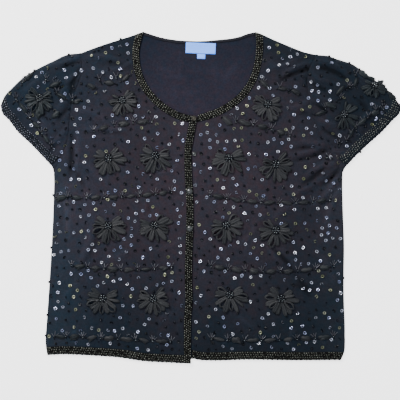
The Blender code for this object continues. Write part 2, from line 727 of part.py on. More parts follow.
def button(name, x, y, radius, height, surface):
    """A domed button with a low rim, turned round its middle and set just clear of what it lies on."""
    base = surface(x, y) + SEAM
    dome_radius = radius * DOME_SHARE
    dome_height = height - BUTTON_RIM
    dome = [
        (dome_radius * math.cos(angle), BUTTON_RIM + dome_height * math.sin(angle))
        for angle in np.radians(DOME_ANGLES)
    ]
    profile = [(0, 0), (radius, 0), (radius, BUTTON_RIM)] + dome
    mesh = bmesh.new()
    verts = [mesh.verts.new(((x + out) * MM, y * MM, (base + up) * MM)) for out, up in profile]
    edges = [mesh.edges.new(pair) for pair in zip(verts, verts[1:])]
    bmesh.ops.spin(
        mesh, geom=verts + edges, cent=(x * MM, y * MM, 0), axis=(0, 0, 1), angle=2 * math.pi,
        steps=BUTTON_STEPS, use_merge=True,
    )
    bmesh.ops.remove_doubles(mesh, verts=mesh.verts, dist=1e-6)
    bmesh.ops.recalc_face_normals(mesh, faces=mesh.faces)
    made_object(name, mesh, BUTTON_GREY if name != "button_1" else BUTTON_BRASS, 0.3)


def cardigan():
    """Every piece, from the surface up."""
    back()
    left_surface = left_front()
    right_surface = right_front()

    def band_surface(x, y):
        return right_surface(x, y) + SEAM + TRIM_WALL + TRIM_CROWN

    sleeve(
        "right_sleeve", RIGHT_ARMHOLE, RIGHT_CUFF, RIGHT_SLEEVE_TOP, RIGHT_UNDERARM, RIGHT_CUFF_TRIM_ENDS, -1,
        RIGHT_SLEEVE_FOLDS, RIGHT_SLEEVE_FLOWERS, RIGHT_SLEEVE_VINES, RIGHT_SLEEVE_LEAVES,
    )
    sleeve(
        "left_sleeve", LEFT_ARMHOLE, LEFT_CUFF, LEFT_SLEEVE_TOP, LEFT_UNDERARM, LEFT_CUFF_TRIM_ENDS, 1,
        LEFT_SLEEVE_FOLDS, LEFT_SLEEVE_FLOWERS, LEFT_SLEEVE_VINES, LEFT_SLEEVE_LEAVES,
    )
    labels()
    for name, x, y, radius, height in BUTTONS:
        button(name, x, y, radius, height, left_surface if name == LOOSE_BUTTON else band_surface)


cardigan()
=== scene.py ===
# %% [markdown]
# # A beaded cardigan, laid flat
#
# The real garment is a fine dark cardigan with short gathered sleeves. Ribbon flowers, ribbon leaves,
# sprays of glass bugles and hundreds of cup sequins are sewn on it, and a band of beadwork runs round the
# neck, down the closing edge and along the hem and the cuffs. Plain solids of every cut piece are loaded
# first, and this lesson dresses them. All lengths are in metres, in the frame of the solids: X runs to the
# viewer's right, Y from the hem up to the neck, and Z up from the surface. Right and left in a name are the
# wearer's.

# %% Load the solids
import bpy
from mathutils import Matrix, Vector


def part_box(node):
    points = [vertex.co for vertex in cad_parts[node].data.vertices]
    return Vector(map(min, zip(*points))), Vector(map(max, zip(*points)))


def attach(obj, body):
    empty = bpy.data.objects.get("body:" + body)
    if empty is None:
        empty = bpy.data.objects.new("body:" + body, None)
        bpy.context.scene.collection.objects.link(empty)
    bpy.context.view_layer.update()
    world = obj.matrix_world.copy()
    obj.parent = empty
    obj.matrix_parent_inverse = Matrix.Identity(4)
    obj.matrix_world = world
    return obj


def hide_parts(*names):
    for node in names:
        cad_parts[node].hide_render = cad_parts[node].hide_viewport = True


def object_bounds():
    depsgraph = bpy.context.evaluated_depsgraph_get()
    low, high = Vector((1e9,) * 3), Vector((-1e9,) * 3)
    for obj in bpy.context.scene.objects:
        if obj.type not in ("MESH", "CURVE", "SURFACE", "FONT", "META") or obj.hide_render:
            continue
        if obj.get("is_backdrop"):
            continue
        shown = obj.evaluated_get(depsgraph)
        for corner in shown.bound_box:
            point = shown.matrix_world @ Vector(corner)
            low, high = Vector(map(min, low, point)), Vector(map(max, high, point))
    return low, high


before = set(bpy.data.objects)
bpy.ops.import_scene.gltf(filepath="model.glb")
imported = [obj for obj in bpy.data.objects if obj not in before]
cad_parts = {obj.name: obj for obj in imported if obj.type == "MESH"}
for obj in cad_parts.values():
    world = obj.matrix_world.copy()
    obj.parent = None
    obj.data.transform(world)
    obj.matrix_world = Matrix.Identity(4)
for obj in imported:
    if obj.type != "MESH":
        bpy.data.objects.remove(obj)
cad_box = [list(corner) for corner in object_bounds()]
print("solids:", len(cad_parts))

# %% The modules that the lesson uses
import math
import random

import bmesh
import bpy
import numpy as np
from mathutils import Euler, Matrix, Vector
from mathutils.bvhtree import BVHTree
from mathutils.geometry import delaunay_2d_cdt

MM = 0.001

# %% [markdown]
# ## Camera, light and floor
#
# The photograph is a cut-out that looks straight down. One of its pixels is 1.7 mm of cloth, which gives
# the width of the frame, and a lens that sees just that width from above. The floor is plain and pale.
# Sequins and beads are small mirrors, so the light comes from large soft panels: each cup shows a piece of
# one of them.

# %% Camera straight above the garment
PIXEL = 1.692 * MM
FRAME_PIXELS = 400
FRAME_CENTRE = (-1.7 * MM, -4.1 * MM)
CAMERA_HEIGHT = 1.8
CLOTH_LEVEL = 5 * MM
SENSOR_WIDTH = 36.0

bpy.ops.object.camera_add(location=(*FRAME_CENTRE, CAMERA_HEIGHT), rotation=(0, 0, 0))
camera = bpy.context.object
camera.data.sensor_width = SENSOR_WIDTH
camera.data.lens = SENSOR_WIDTH * (CAMERA_HEIGHT - CLOTH_LEVEL) / (FRAME_PIXELS * PIXEL)
bpy.context.scene.camera = camera
print("lens:", round(camera.data.lens, 1), "mm")


# %% Soft panels of light and the pale floor
def soft_panel(name, place, size, watts, color):
    """A square area light that faces the garment's middle and isn't seen itself."""
    bpy.ops.object.light_add(type="AREA", location=place)
    panel = bpy.context.object
    panel.name = name
    panel.data.size = size
    panel.data.energy = watts
    panel.data.color = color
    panel.rotation_euler = (-Vector(place)).to_track_quat("-Z", "Y").to_euler()
    panel.visible_camera = False


soft_panel("window_panel", (-0.9, 1.2, 1.45), 0.5, 46, (1.0, 0.98, 0.96))
soft_panel("side_panel", (1.35, 0.2, 1.5), 0.6, 5, (0.86, 0.92, 1.0))
soft_panel("foot_panel", (-0.35, -1.1, 1.9), 0.6, 9, (0.90, 0.94, 1.0))

ROOM_COLOR = (0.90, 0.94, 1.0, 1.0)
ROOM_GLOW = 0.4
world = bpy.data.worlds.new("room")
world.use_nodes = True
air = world.node_tree.nodes["Background"]
air.inputs["Color"].default_value = ROOM_COLOR
air.inputs["Strength"].default_value = ROOM_GLOW
bpy.context.scene.world = world

FLOOR_SIZE = 8.0
FLOOR_DROP = 0.2 * MM
FLOOR_GLOW = 2.5
bpy.ops.object.select_all(action="DESELECT")
bpy.ops.mesh.primitive_plane_add(size=FLOOR_SIZE, location=(0, 0, -FLOOR_DROP))
floor = bpy.context.object
floor.name = "floor"
floor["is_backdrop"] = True
pale = bpy.data.materials.new("pale_floor")
pale.use_nodes = True
paint = pale.node_tree.nodes["Principled BSDF"]
paint.inputs["Base Color"].default_value = (0.92, 0.92, 0.92, 1.0)
paint.inputs["Roughness"].default_value = 0.9
paint.inputs["Emission Color"].default_value = (1.0, 1.0, 1.0, 1.0)
paint.inputs["Emission Strength"].default_value = FLOOR_GLOW
floor.data.materials.append(pale)


# %% [markdown]
# ## Helpers for finishes
#
# Every finish is a small tree of shader nodes on one Principled shader. Short helpers add a node with its
# inputs, a piece of arithmetic, a blend of two colours or a bump, so that the trees below read almost like
# formulas.

# %% Helpers that build node trees
def new_finish(name, color, roughness, metallic=0.0, **settings):
    """A material with a Principled shader, and the values that are the same all over it."""
    material = bpy.data.materials.new(name)
    material.use_nodes = True
    shader = material.node_tree.nodes["Principled BSDF"]
    shader.inputs["Base Color"].default_value = (*color, 1.0)
    shader.inputs["Roughness"].default_value = roughness
    shader.inputs["Metallic"].default_value = metallic
    for socket, value in settings.items():
        shader.inputs[socket.replace("_", " ")].default_value = value
    return material, shader


def add(material, kind, inputs=None, **settings):
    """A new node; each input is a value or the output that feeds it."""
    made = material.node_tree.nodes.new("ShaderNode" + kind)
    for key, value in settings.items():
        setattr(made, key, value)
    for key, value in (inputs or {}).items():
        if isinstance(value, bpy.types.NodeSocket):
            material.node_tree.links.new(value, made.inputs[key])
        else:
            made.inputs[key].default_value = value
    return made


def calc(material, operation, first, second=0.0):
    """The result of one piece of arithmetic."""
    return add(material, "Math", {0: first, 1: second}, operation=operation).outputs[0]


def blend(material, factor, low, high, kind="MIX"):
    """Two colours blended by a factor. The sockets of a colour mix are found by their numbers."""
    made = add(material, "Mix", {0: factor}, data_type="RGBA", blend_type=kind)
    for socket, color in ((made.inputs[6], low), (made.inputs[7], high)):
        if isinstance(color, bpy.types.NodeSocket):
            material.node_tree.links.new(color, socket)
        else:
            socket.default_value = (*color, 1.0)
    return made.outputs[2]


def noise(material, coords, scale, detail=3.0):
    """Soft noise from 0 to 1 on the given coordinates."""
    return add(material, "TexNoise", {"Vector": coords, "Scale": scale, "Detail": detail}).outputs["Fac"]


def feed(material, output, shader, socket):
    """Lead an output into one of the shader's inputs."""
    material.node_tree.links.new(output, shader.inputs[socket])


def raise_by(material, shader, height, distance, strength=1.0):
    """Turn a height pattern into bumps of a real depth."""
    bump = add(material, "Bump", {"Height": height, "Distance": distance, "Strength": strength})
    feed(material, bump.outputs["Normal"], shader, "Normal")


# %% [markdown]
# ## The knit
#
# The cloth is a fine, very dark jersey. It is painted lighter and purplish brown in the middle and darker
# and navy towards the sleeves and the hem: painted light, for the light that falls off towards the edges. A
# jersey stitch is a small V: two slanting legs side by side, in columns 1.3 mm wide and rows 1 mm high. The
# pattern splits X into legs, slants the rows along each leg, and uses the result both as a bump and as
# painted shade in the gaps between stitches. Slow noise gives the mottled look of yarn that was dyed in the
# piece. Down both sides below the arms, and towards the wearer's right side, the cloth is painted lighter
# again, painted light; along the creases it is painted darker in the troughs and lighter on the ridges.

# %% Knit finish
WALE = 1.3 * MM
COURSE = 1.0 * MM
# Painted light: the cloth is painted lighter and browner in the middle and darker and navy outwards, for the
# light that falls off towards the edges
KNIT_PAINTED_LIT_MIDDLE = (0.0375, 0.0310, 0.0420)
KNIT_PAINTED_DIM_OUTER = (0.0115, 0.0171, 0.0256)
# Painted shade and light: how much each millimetre of a crease's height paints the cloth lighter, and the
# limits of that factor. A trough paints it darker.
PAINTED_CREASE_SHADE = 0.26
PAINTED_CREASE_LIMITS = (0.4, 1.2)
WARM_TINT = (1.22, 0.98, 0.95)
COOL_TINT = (0.80, 1.02, 1.10)
# Painted light: the middle of the lighter brown part, and how fast it falls off to the darker navy from
# there, along X and along Y
PAINTED_LIGHT_CENTRE = (0.0, 0.03, 0.0)
PAINTED_LIGHT_FALLOFF = (3.1, 3.4, 0.0)
# Each noise pattern: its scale and its weight. Each change of colour: how steep it is and where it starts.
MOTTLE = (9.0, 0.7)
PATCH_SCALE = 120.0
SPECKLE = (380.0, 1.5)
PAINTED_FALLOFF_CHANGE = (1.4, -0.35)
PATCH_CHANGE = (2.6, -0.8)
# Painted shade between stitches: its scale and offset
STITCH_PAINTED_SHADE = (0.55, 0.2)
# How far the rows slant, and how much of a stitch's height comes and goes along its leg and how much stays
STITCH_SLANT = 1.4
ROW_WEIGHT = (0.6, 0.4)
STITCH_DEPTH = 0.25 * MM
STITCH_STRENGTH = 0.8
# Where the cloth is painted lighter, painted light: at both sides below the arms, and towards its right side.
# Each row is the distance at which it begins, the width over which it grows, and how much lighter it gets.
PAINTED_SIDE_LIGHT = (0.18, 0.06, (0.46, 0.43, 0.36))
PAINTED_LIGHT_BELOW_ARMS = (0.09, 0.07)
PAINTED_RIGHT_LIGHT = (0.11, 0.09, (0.20, 0.23, 0.27))


def knit_pattern(material, coords):
    """The height of the stitches, from 0 in the gaps to 1 on the legs."""
    axes = add(material, "SeparateXYZ", {"Vector": coords})
    across = calc(material, "DIVIDE", axes.outputs["X"], WALE)
    along = calc(material, "DIVIDE", axes.outputs["Y"], COURSE)
    slant = calc(material, "ABSOLUTE", calc(material, "SUBTRACT", calc(material, "FRACT", across), 0.5))
    leg = calc(material, "FRACT", calc(material, "MULTIPLY", across, 2.0))
    leg = calc(material, "SINE", calc(material, "MULTIPLY", leg, math.pi))
    row = calc(material, "ADD", along, calc(material, "MULTIPLY", slant, STITCH_SLANT))
    row = calc(material, "FRACT", row)
    row = calc(material, "SINE", calc(material, "MULTIPLY", row, math.pi))
    row = calc(material, "ADD", calc(material, "MULTIPLY", row, ROW_WEIGHT[0]), ROW_WEIGHT[1])
    return calc(material, "MULTIPLY", leg, row)


def shifted(material, value, factor, offset):
    """A value times a factor plus an offset, held between 0 and 1."""
    share = calc(material, "MULTIPLY_ADD", value, factor)
    share.node.inputs[2].default_value = offset
    share.node.use_clamp = True
    return share


def grown(material, value, start, width):
    """0 up to the start, 1 beyond the width, and a straight rise between."""
    share = calc(material, "DIVIDE", calc(material, "SUBTRACT", value, start), width)
    share.node.use_clamp = True
    return share


def knit_finish(name, tint=(1.0, 1.0, 1.0)):
    """The dark jersey, painted darker in the troughs of its creases and lighter on their ridges; the tint is
    for its other side.
    """
    material, shader = new_finish(name, KNIT_PAINTED_LIT_MIDDLE, 0.85, Sheen_Weight=0.04, Sheen_Roughness=0.4)
    shader.inputs["Specular IOR Level"].default_value = 0.12
    coords = add(material, "TexCoord").outputs["Object"]
    placed = add(material, "Mapping", {"Vector": coords, "Scale": PAINTED_LIGHT_FALLOFF}, vector_type="POINT")
    placed.inputs["Location"].default_value = [-a * b for a, b in zip(PAINTED_LIGHT_CENTRE, PAINTED_LIGHT_FALLOFF)]
    reach = add(material, "VectorMath", {0: placed.outputs[0]}, operation="LENGTH").outputs["Value"]
    mottle = noise(material, coords, MOTTLE[0])
    mottle = calc(material, "MULTIPLY", calc(material, "SUBTRACT", mottle, 0.5), MOTTLE[1])
    # Painted light: lighter in the middle, darker outwards
    painted_falloff = shifted(material, calc(material, "ADD", reach, mottle), *PAINTED_FALLOFF_CHANGE)
    middle = [part * tone for part, tone in zip(KNIT_PAINTED_LIT_MIDDLE, tint)]
    outer = [part * tone for part, tone in zip(KNIT_PAINTED_DIM_OUTER, tint)]
    color = blend(material, painted_falloff, middle, outer)
    patches = shifted(material, noise(material, coords, PATCH_SCALE), *PATCH_CHANGE)
    color = blend(material, 1.0, color, blend(material, patches, WARM_TINT, COOL_TINT), "MULTIPLY")
    axes = add(material, "SeparateXYZ", {"Vector": coords}).outputs
    # Painted light: lighter at both sides below the arms and towards the wearer's right side
    sides = grown(material, calc(material, "ABSOLUTE", axes["X"]), *PAINTED_SIDE_LIGHT[:2])
    below = grown(material, calc(material, "SUBTRACT", PAINTED_LIGHT_BELOW_ARMS[0], axes["Y"]), 0.0, PAINTED_LIGHT_BELOW_ARMS[1])
    right = grown(material, calc(material, "MULTIPLY", axes["X"], -1.0), *PAINTED_RIGHT_LIGHT[:2])
    for share, extra in ((calc(material, "MULTIPLY", sides, below), PAINTED_SIDE_LIGHT[2]), (right, PAINTED_RIGHT_LIGHT[2])):
        painted_lighter = blend(material, share, (1.0, 1.0, 1.0), [1.0 + part for part in extra])
        color = blend(material, 1.0, color, painted_lighter, "MULTIPLY")
    # Painted shade in the gaps between stitches, mixed with a random speckle of tone
    height = knit_pattern(material, coords)
    speckle = noise(material, coords, SPECKLE[0])
    shade = calc(material, "ADD", height, calc(material, "MULTIPLY", speckle, SPECKLE[1]))
    shade = calc(material, "ADD", calc(material, "MULTIPLY", shade, STITCH_PAINTED_SHADE[0]), STITCH_PAINTED_SHADE[1])
    # Painted shade and light: darker in the troughs of the creases, lighter on their ridges
    crease = add(material, "Attribute", attribute_name="crease").outputs["Fac"]
    crease = calc(material, "ADD", calc(material, "MULTIPLY", crease, PAINTED_CREASE_SHADE), 1.0)
    crease = calc(material, "MINIMUM", calc(material, "MAXIMUM", crease, PAINTED_CREASE_LIMITS[0]), PAINTED_CREASE_LIMITS[1])
    shade = calc(material, "MULTIPLY", shade, crease)
    grey = add(material, "CombineColor", {"Red": shade, "Green": shade, "Blue": shade}, mode="RGB").outputs[0]
    feed(material, blend(material, 1.0, color, grey, "MULTIPLY"), shader, "Base Color")
    raise_by(material, shader, height, STITCH_DEPTH, STITCH_STRENGTH)
    return material


knit = knit_finish("knit")
inner_knit = knit_finish("inner_knit", (0.96, 0.97, 1.12))


# %% [markdown]
# ## Reading the solids
#
# The fine cloth has to lie just where the solids lie. Each solid gives two things: its outline, which is
# the loop of edges between its side wall and its underside, and the height of its underside at any place,
# found with a ray that goes up. Folds and puffs of the cloth are in that underside already, while raised
# motifs are only in the upper side, so the underside gives the bare cloth.

# %% Outline and height of a solid
# The upper wall of a solid sleeve, the turn that makes a corner of an outline, and where the rays that probe
# a solid start: below a panel, or in the slot of a sleeve
SLEEVE_WALL = 1.6 * MM
CORNER_TURN = math.radians(32)
LOW_START = -1 * MM
SLOT_START = 1.6 * MM


def solid_copy(node):
    """The solid's mesh with its shared corners merged."""
    mesh = bmesh.new()
    mesh.from_mesh(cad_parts[node].data)
    bmesh.ops.remove_doubles(mesh, verts=mesh.verts, dist=1e-6)
    mesh.normal_update()
    return mesh


def outline_of(node):
    """The longest loop of edges between a side wall and the underside, counter-clockwise."""
    mesh = solid_copy(node)
    beside = {}
    for edge in mesh.edges:
        slopes = sorted(face.normal.z for face in edge.link_faces)
        if len(slopes) == 2 and slopes[0] < -0.5 and abs(slopes[1]) < 0.5:
            for vert in edge.verts:
                beside.setdefault(vert.index, []).append(edge.other_vert(vert).index)
    mesh.verts.ensure_lookup_table()
    unused = [index for index in sorted(beside) if len(beside[index]) == 2]
    loops = []
    while unused:
        loop = [unused.pop(0)]
        while True:
            following = [index for index in beside[loop[-1]] if index in unused]
            if not following:
                break
            unused.remove(following[0])
            loop.append(following[0])
        loops.append([mesh.verts[index].co.xy.copy() for index in loop])
    mesh.free()
    loop = max(loops, key=lambda points: sum((a - b).length for a, b in zip(points, points[1:])))
    area = sum(a.cross(b) for a, b in zip(loop, loop[1:] + loop[:1]))
    return loop if area > 0 else loop[::-1]


def turns_of(loop):
    """How sharply a loop turns at each of its points."""
    turns = []
    for index, point in enumerate(loop):
        before = point - loop[index - 1]
        after = loop[(index + 1) % len(loop)] - point
        turns.append(abs(before.angle_signed(after)))
    return turns


def refined(loop, step):
    """The loop with points about one step apart, round where it was round and sharp at its corners."""
    sharp = [turn > CORNER_TURN for turn in turns_of(loop)]
    count = len(loop)
    fine = []
    for index in range(count):
        following = (index + 1) % count
        start, end = loop[index], loop[following]
        run = end - start
        leaving = arriving = run
        if not sharp[index]:
            before = start - loop[index - 1]
            leaving = (before + run) * run.length / (run.length + before.length)
        if not sharp[following]:
            after = loop[(index + 2) % count] - end
            arriving = (after + run) * run.length / (run.length + after.length)
        pieces = max(1, round(run.length / step))
        for part in range(pieces):
            t = part / pieces
            fine.append(
                start * (2 * t**3 - 3 * t**2 + 1) + leaving * (t**3 - 2 * t**2 + t)
                + end * (3 * t**2 - 2 * t**3) + arriving * (t**3 - t**2)
            )
    return fine


def inward(loop, distances):
    """The loop moved in, each point by its own distance."""
    moved = []
    for index, point in enumerate(loop):
        ahead = (loop[(index + 1) % len(loop)] - loop[index - 1]).normalized()
        moved.append(point + Vector((-ahead.y, ahead.x)) * distances[index])
    return moved


def reach_from(line, points):
    """How far each point lies from a line of points."""
    line = np.array([tuple(point) for point in line])
    points = np.array([tuple(point) for point in points])
    nearest = np.full(len(points), np.inf)
    for start, end in zip(line, line[1:]):
        run = end - start
        share = np.clip((points - start) @ run / max(run @ run, 1e-12), 0, 1)
        nearest = np.minimum(nearest, np.hypot(*(points - start - share[:, None] * run).T))
    return nearest


def within(loop, points):
    """Which points lie inside a loop."""
    found = np.zeros(len(points), bool)
    for a, b in zip(loop, loop[1:] + loop[:1]):
        if a.y != b.y:
            crosses = (a.y > points[:, 1]) != (b.y > points[:, 1])
            found ^= crosses & (points[:, 0] < a.x + (points[:, 1] - a.y) * (b.x - a.x) / (b.y - a.y))
    return found


def underside_of(node, start):
    """A function that gives the height of a solid's underside, or of the roof of a sleeve's slot."""
    mesh = solid_copy(node)
    tree = BVHTree.FromBMesh(mesh)
    mesh.free()

    def height(x, y):
        hit, normal, _, _ = tree.ray_cast((x, y, start), (0, 0, 1))
        if hit is None:
            return None
        return hit.z if normal.z < 0 else hit.z - SLEEVE_WALL

    return height


outlines = {}
for node in ("back", "right_front", "left_front", "right_sleeve", "left_sleeve", "label", "size_tab"):
    outlines[node] = outline_of(node)
    print(node, "outline:", len(outlines[node]), "points")

# %% [markdown]
# ## The main creases
#
# The solids hold the largest folds. The finer creases are placed here, in millimetres, where the photograph
# shows them: gathers that fan out from the sleeve heads, creases that run from the viewer's right underarm
# across the front, short ripples beside the closing band and above the hem, and a faint cross where the
# back was folded. Each row is a soft ridge, or a trough where its height is negative. No two are alike.

# %% Tables of creases
# The columns are x and y where a crease starts, x and y where it ends, how far it bows to its left, its half
# width, and its height
BACK_CREASES = (
    (-36, 252, -37, 196, 1, 5, 0.9),
    (-46, 206, -14, 204, -2, 4, 0.9),
    (-40, 179, 4, 181, -3, 5, 0.8),
    (-44, 196, -48, 158, 2, 5, 0.8),
    (18, 236, 24, 172, 3, 7, 0.6),
    (-78, 224, -40, 214, -3, 6, 0.9),
    (-70, 206, -30, 198, 3, 5, 0.7),
    (66, 238, 30, 196, 5, 8, 0.9),
    (-20, 214, 38, 208, 3, 7, 0.6),
    (-14, 160, -18, 146, 0, 6, 0.6),
)
RIGHT_FRONT_CREASES = (
    (-196, 238, -134, 230, 4, 6, 2.6),
    (-104, 238, -182, 214, 8, 7, 2.1),
    (-112, 214, -168, 226, -6, 7, -1.4),
    (-208, 146, -160, 132, 5, 7, 2.1),
    (-202, 118, -128, 118, -3, 6, 2.4),
    (-198, 108, -120, 106, 3, 5, -1.4),
    (-214, 96, -176, 38, -7, 8, 2.2),
    (-219, 116, -224, 26, 2, 7, -2.5),
    (-208, 110, -212, 36, 3, 6, 2.9),
    (-232, 58, -196, 12, 6, 7, -1.8),
    (-236, 20, -224, -74, 5, 7, 2.6),
    (-90, -8, -88, -30, 1, 5, -1.5),
    (-180, -30, -214, -123, 6, 8, 1.3),
    (-168, -36, -200, -118, 6, 7, -1.3),
    (-38, 56, -74, 42, 3, 5, 1.9),
    (-36, 6, -66, 14, 3, 5, -1.4),
    (-36, -72, -82, -88, 4, 6, 1.1),
    (-52, -126, -87, -166, 4, 6, -1.2),
    (-40, -196, -76, -214, -4, 7, 1.2),
    (-120, -84, -168, -106, 6, 7, 1.2),
    (-204, -140, -236, -190, -6, 7, 1.2),
    (-216, -250, -212, -222, 1, 6, 1.6),
    (-176, -252, -170, -228, -1, 5, 1.4),
    (-120, -254, -124, -222, 2, 7, 1.5),
    (-72, -258, -70, -236, 1, 5, 1.4),
)
LEFT_FRONT_CREASES = (
    (112, 219, 166, 236, -4, 6, 2.6),
    (128, 193, 202, 220, 6, 6, -3.6),
    (134, 203, 196, 229, 6, 6, 2.6),
    (108, 236, 172, 214, -7, 7, 1.9),
    (175, 208, 186, 174, 2, 5, -3.0),
    (184, 166, 146, 152, 4, 6, 1.6),
    (192, 138, 158, 138, -4, 6, -1.5),
    (146, 71, 226, 98, -5, 6, 2.3),
    (150, 62, 222, 86, -5, 5, -2.6),
    (212, 96, 168, 98, 6, 6, 2.6),
    (216, 76, 151, 80, -6, 6, -2.1),
    (218, 62, 168, 21, 4, 6, -3.2),
    (178, 38, 230, 58, 4, 6, 2.9),
    (200, 18, 236, 54, -4, 6, -3.2),
    (232, 40, 186, -16, 7, 7, 3.2),
    (238, 18, 214, -48, -5, 7, 2.7),
    (206, 34, 150, 6, 5, 6, 2.0),
    (186, -8, 118, -38, -7, 7, 1.6),
    (117, -84, 160, -135, 5, 6, -2.6),
    (160, -132, 194, -161, -3, 6, -2.2),
    (126, -80, 170, -130, 5, 7, 1.5),
    (96, -34, 62, -84, 6, 7, 1.1),
    (112, -66, 136, -112, -6, 6, 1.2),
    (155, -145, 189, -174, 4, 6, -2.0),
    (196, -92, 226, -150, 5, 7, 1.4),
    (22, -76, 44, -112, 4, 6, 1.1),
    (60, -196, 96, -220, -5, 7, 1.1),
    (40, -254, 46, -228, 1, 6, 2.2),
    (96, -256, 92, -232, -1, 5, 1.9),
    (152, -254, 158, -220, 2, 7, 2.6),
    (208, -254, 204, -234, -1, 5, 2.1),
    (-8.5, 66, -8.5, 14, 0, 3, 0.9),
)
RIGHT_SLEEVE_CREASES = (
    (-206, 240, -262, 222, 3, 5, 2.6),
    (-205, 230, -240, 216, -2, 4.5, -2.8),
    (-205, 219, -223, 157, -4, 5.5, -4.0),
    (-210, 212, -236, 172, -4, 5, 3.2),
    (-214, 200, -250, 182, 2, 5, -2.6),
    (-216, 178, -246, 150, 3, 5, 2.9),
    (-220, 156, -244, 126, -2, 5, -2.6),
    (-225, 124, -250, 92, 3, 6, 2.6),
    (-240, 92, -256, 70, -2, 5, -1.6),
    (-268, 214, -300, 178, 4, 7, 2.9),
    (-302, 166, -262, 110, 5, 8, 2.2),
    (-258, 168, -272, 128, 3, 6, -1.8),
)
LEFT_SLEEVE_CREASES = (
    (194, 232, 250, 206, 6, 6, 3.2),
    (191, 221, 252, 196, 6, 6, -4.0),
    (188, 210, 232, 192, -3, 4.5, 2.9),
    (184, 194, 216, 176, 2, 4.5, -2.8),
    (186, 178, 226, 164, -3, 5, 3.0),
    (188, 160, 216, 142, 2, 5, -2.8),
    (198, 134, 232, 122, -3, 6, 2.9),
    (204, 114, 236, 96, 3, 5, -2.8),
    (222, 84, 246, 78, -2, 5, 2.2),
    (262, 216, 300, 176, -4, 7, 2.9),
    (262, 168, 284, 140, 3, 6, -1.9),
    (306, 160, 262, 108, -5, 8, 2.4),
)


# How blunt the ends of a crease are: less than 1 is blunter
CREASE_ENDS = 0.8


def crease_heights(points, creases):
    """The summed height of all creases at each point; points are in metres."""
    total = np.zeros(len(points))
    for start_x, start_y, end_x, end_y, bow, half_width, height in creases:
        start = np.array((start_x, start_y)) * MM
        run = np.array((end_x, end_y)) * MM - start
        length = np.hypot(*run)
        share = (points - start) @ run / length**2
        across = (points - start) @ np.array((-run[1], run[0])) / length - 4 * bow * MM * share * (1 - share)
        near = (share > 0) & (share < 1) & (np.abs(across) < half_width * MM)
        ridge = np.sin(math.pi * np.clip(share, 0, 1)) ** CREASE_ENDS
        ridge = ridge * (1 + np.cos(math.pi * across / (half_width * MM))) / 2
        total[near] += height * MM * ridge[near]
    return total


# %% [markdown]
# ## Fine cloth on the solids' form
#
# A panel is cut as a flat sheet of small triangles inside its outline. Every point is then lifted to the
# solid's height, the lift is smoothed so that no facet of the solid shows, and the creases are added. The
# back lies flat on the surface and has only its creases. The back and the fronts are closed walls with a
# rounded rim. A sleeve is a flattened tube: an upper and a lower sheet that share their points along the
# two folds, thickened by a Solidify modifier.

# %% Sheets of small triangles
# The size of the triangles, how far the rim stands out, how often the lift is smoothed, and how many steps
# inwards are tried where a ray finds nothing
CLOTH_STEP = 3.6 * MM
RIM = 0.45 * MM
SMOOTHINGS = 4
NUDGES = 5


def cut_sheet(loop, step):
    """Points and triangles that fill a loop. The loop's own points come first."""
    ring = np.array([tuple(point) for point in loop])
    low, high = ring.min(axis=0), ring.max(axis=0)
    rows = np.arange(low[1] + step / 2, high[1], step * math.sqrt(3) / 2)
    grid = [
        (x + (step / 2 if number % 2 else 0), y)
        for number, y in enumerate(rows) for x in np.arange(low[0], high[0], step)
    ]
    grid = np.array(grid)
    grid = grid[within(loop, grid)]
    grid = grid[reach_from(loop + loop[:1], grid) > step * 0.6]
    flat = [Vector(point) for point in loop] + [Vector(point) for point in grid]
    corners, _, faces, sources, _, _ = delaunay_2d_cdt(flat, [], [list(range(len(loop)))], 1, 1e-8)
    place = {source: index for index, group in enumerate(sources) for source in group}
    order = [place[index] for index in range(len(loop))]
    order += [index for index in range(len(corners)) if index not in set(order)]
    rank = {old: new for new, old in enumerate(order)}
    points = np.array([tuple(corners[old]) for old in order])
    return points, [tuple(rank[old] for old in face) for face in faces]


def smoothed(values, faces, times):
    """Values at the points, each moved towards the mean of its neighbours a few times."""
    pairs = np.array([(face[a], face[b]) for face in faces for a, b in ((0, 1), (1, 2), (2, 0))])
    count = np.bincount(pairs[:, 0], minlength=len(values)) + np.bincount(pairs[:, 1], minlength=len(values))
    for _ in range(times):
        total = np.bincount(pairs[:, 0], values[pairs[:, 1]], len(values))
        total += np.bincount(pairs[:, 1], values[pairs[:, 0]], len(values))
        values = (values + total / count) / 2
    return values


def lifted(points, faces, node, start, creases):
    """The height of the cloth's underside at every point."""
    height = underside_of(node, start)
    middle = points.mean(axis=0)
    heights = []
    for x, y in points:
        found = height(x, y)
        nudge = Vector(middle - (x, y)).normalized() * MM
        for times in range(1, NUDGES + 1):
            found = height(x + nudge.x * times, y + nudge.y * times) if found is None else found
        heights.append(found)
    known = np.mean([value for value in heights if value is not None])
    heights = np.array([known if value is None else value for value in heights])
    return smoothed(heights, faces, SMOOTHINGS) + crease_heights(points, creases)


def keep_creases_for_painted_shade(piece, points, creases):
    """Write the height of the creases at each point, in millimetres, for the painted shade in the finish."""
    layer = piece.data.attributes.new("crease", "FLOAT", "POINT")
    layer.data.foreach_set("value", crease_heights(np.array(points)[:, :2], creases) / MM)


def new_piece(name, points, faces, finish, smooth=True):
    """A finished mesh object that rides with the garment."""
    mesh = bpy.data.meshes.new(name)
    mesh.from_pydata([tuple(point) for point in points], [], faces)
    mesh.validate()
    thing = bpy.data.objects.new(name, mesh)
    bpy.context.scene.collection.objects.link(thing)
    mesh.materials.append(finish)
    mesh.polygons.foreach_set("use_smooth", [smooth] * len(mesh.polygons))
    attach(thing, "root")
    return thing


# %% The back and the two fronts
BACK_WALL = 1.4 * MM
FRONT_WALL = 1.3 * MM
LEAST_RISE = 0.1 * MM
carriers = []


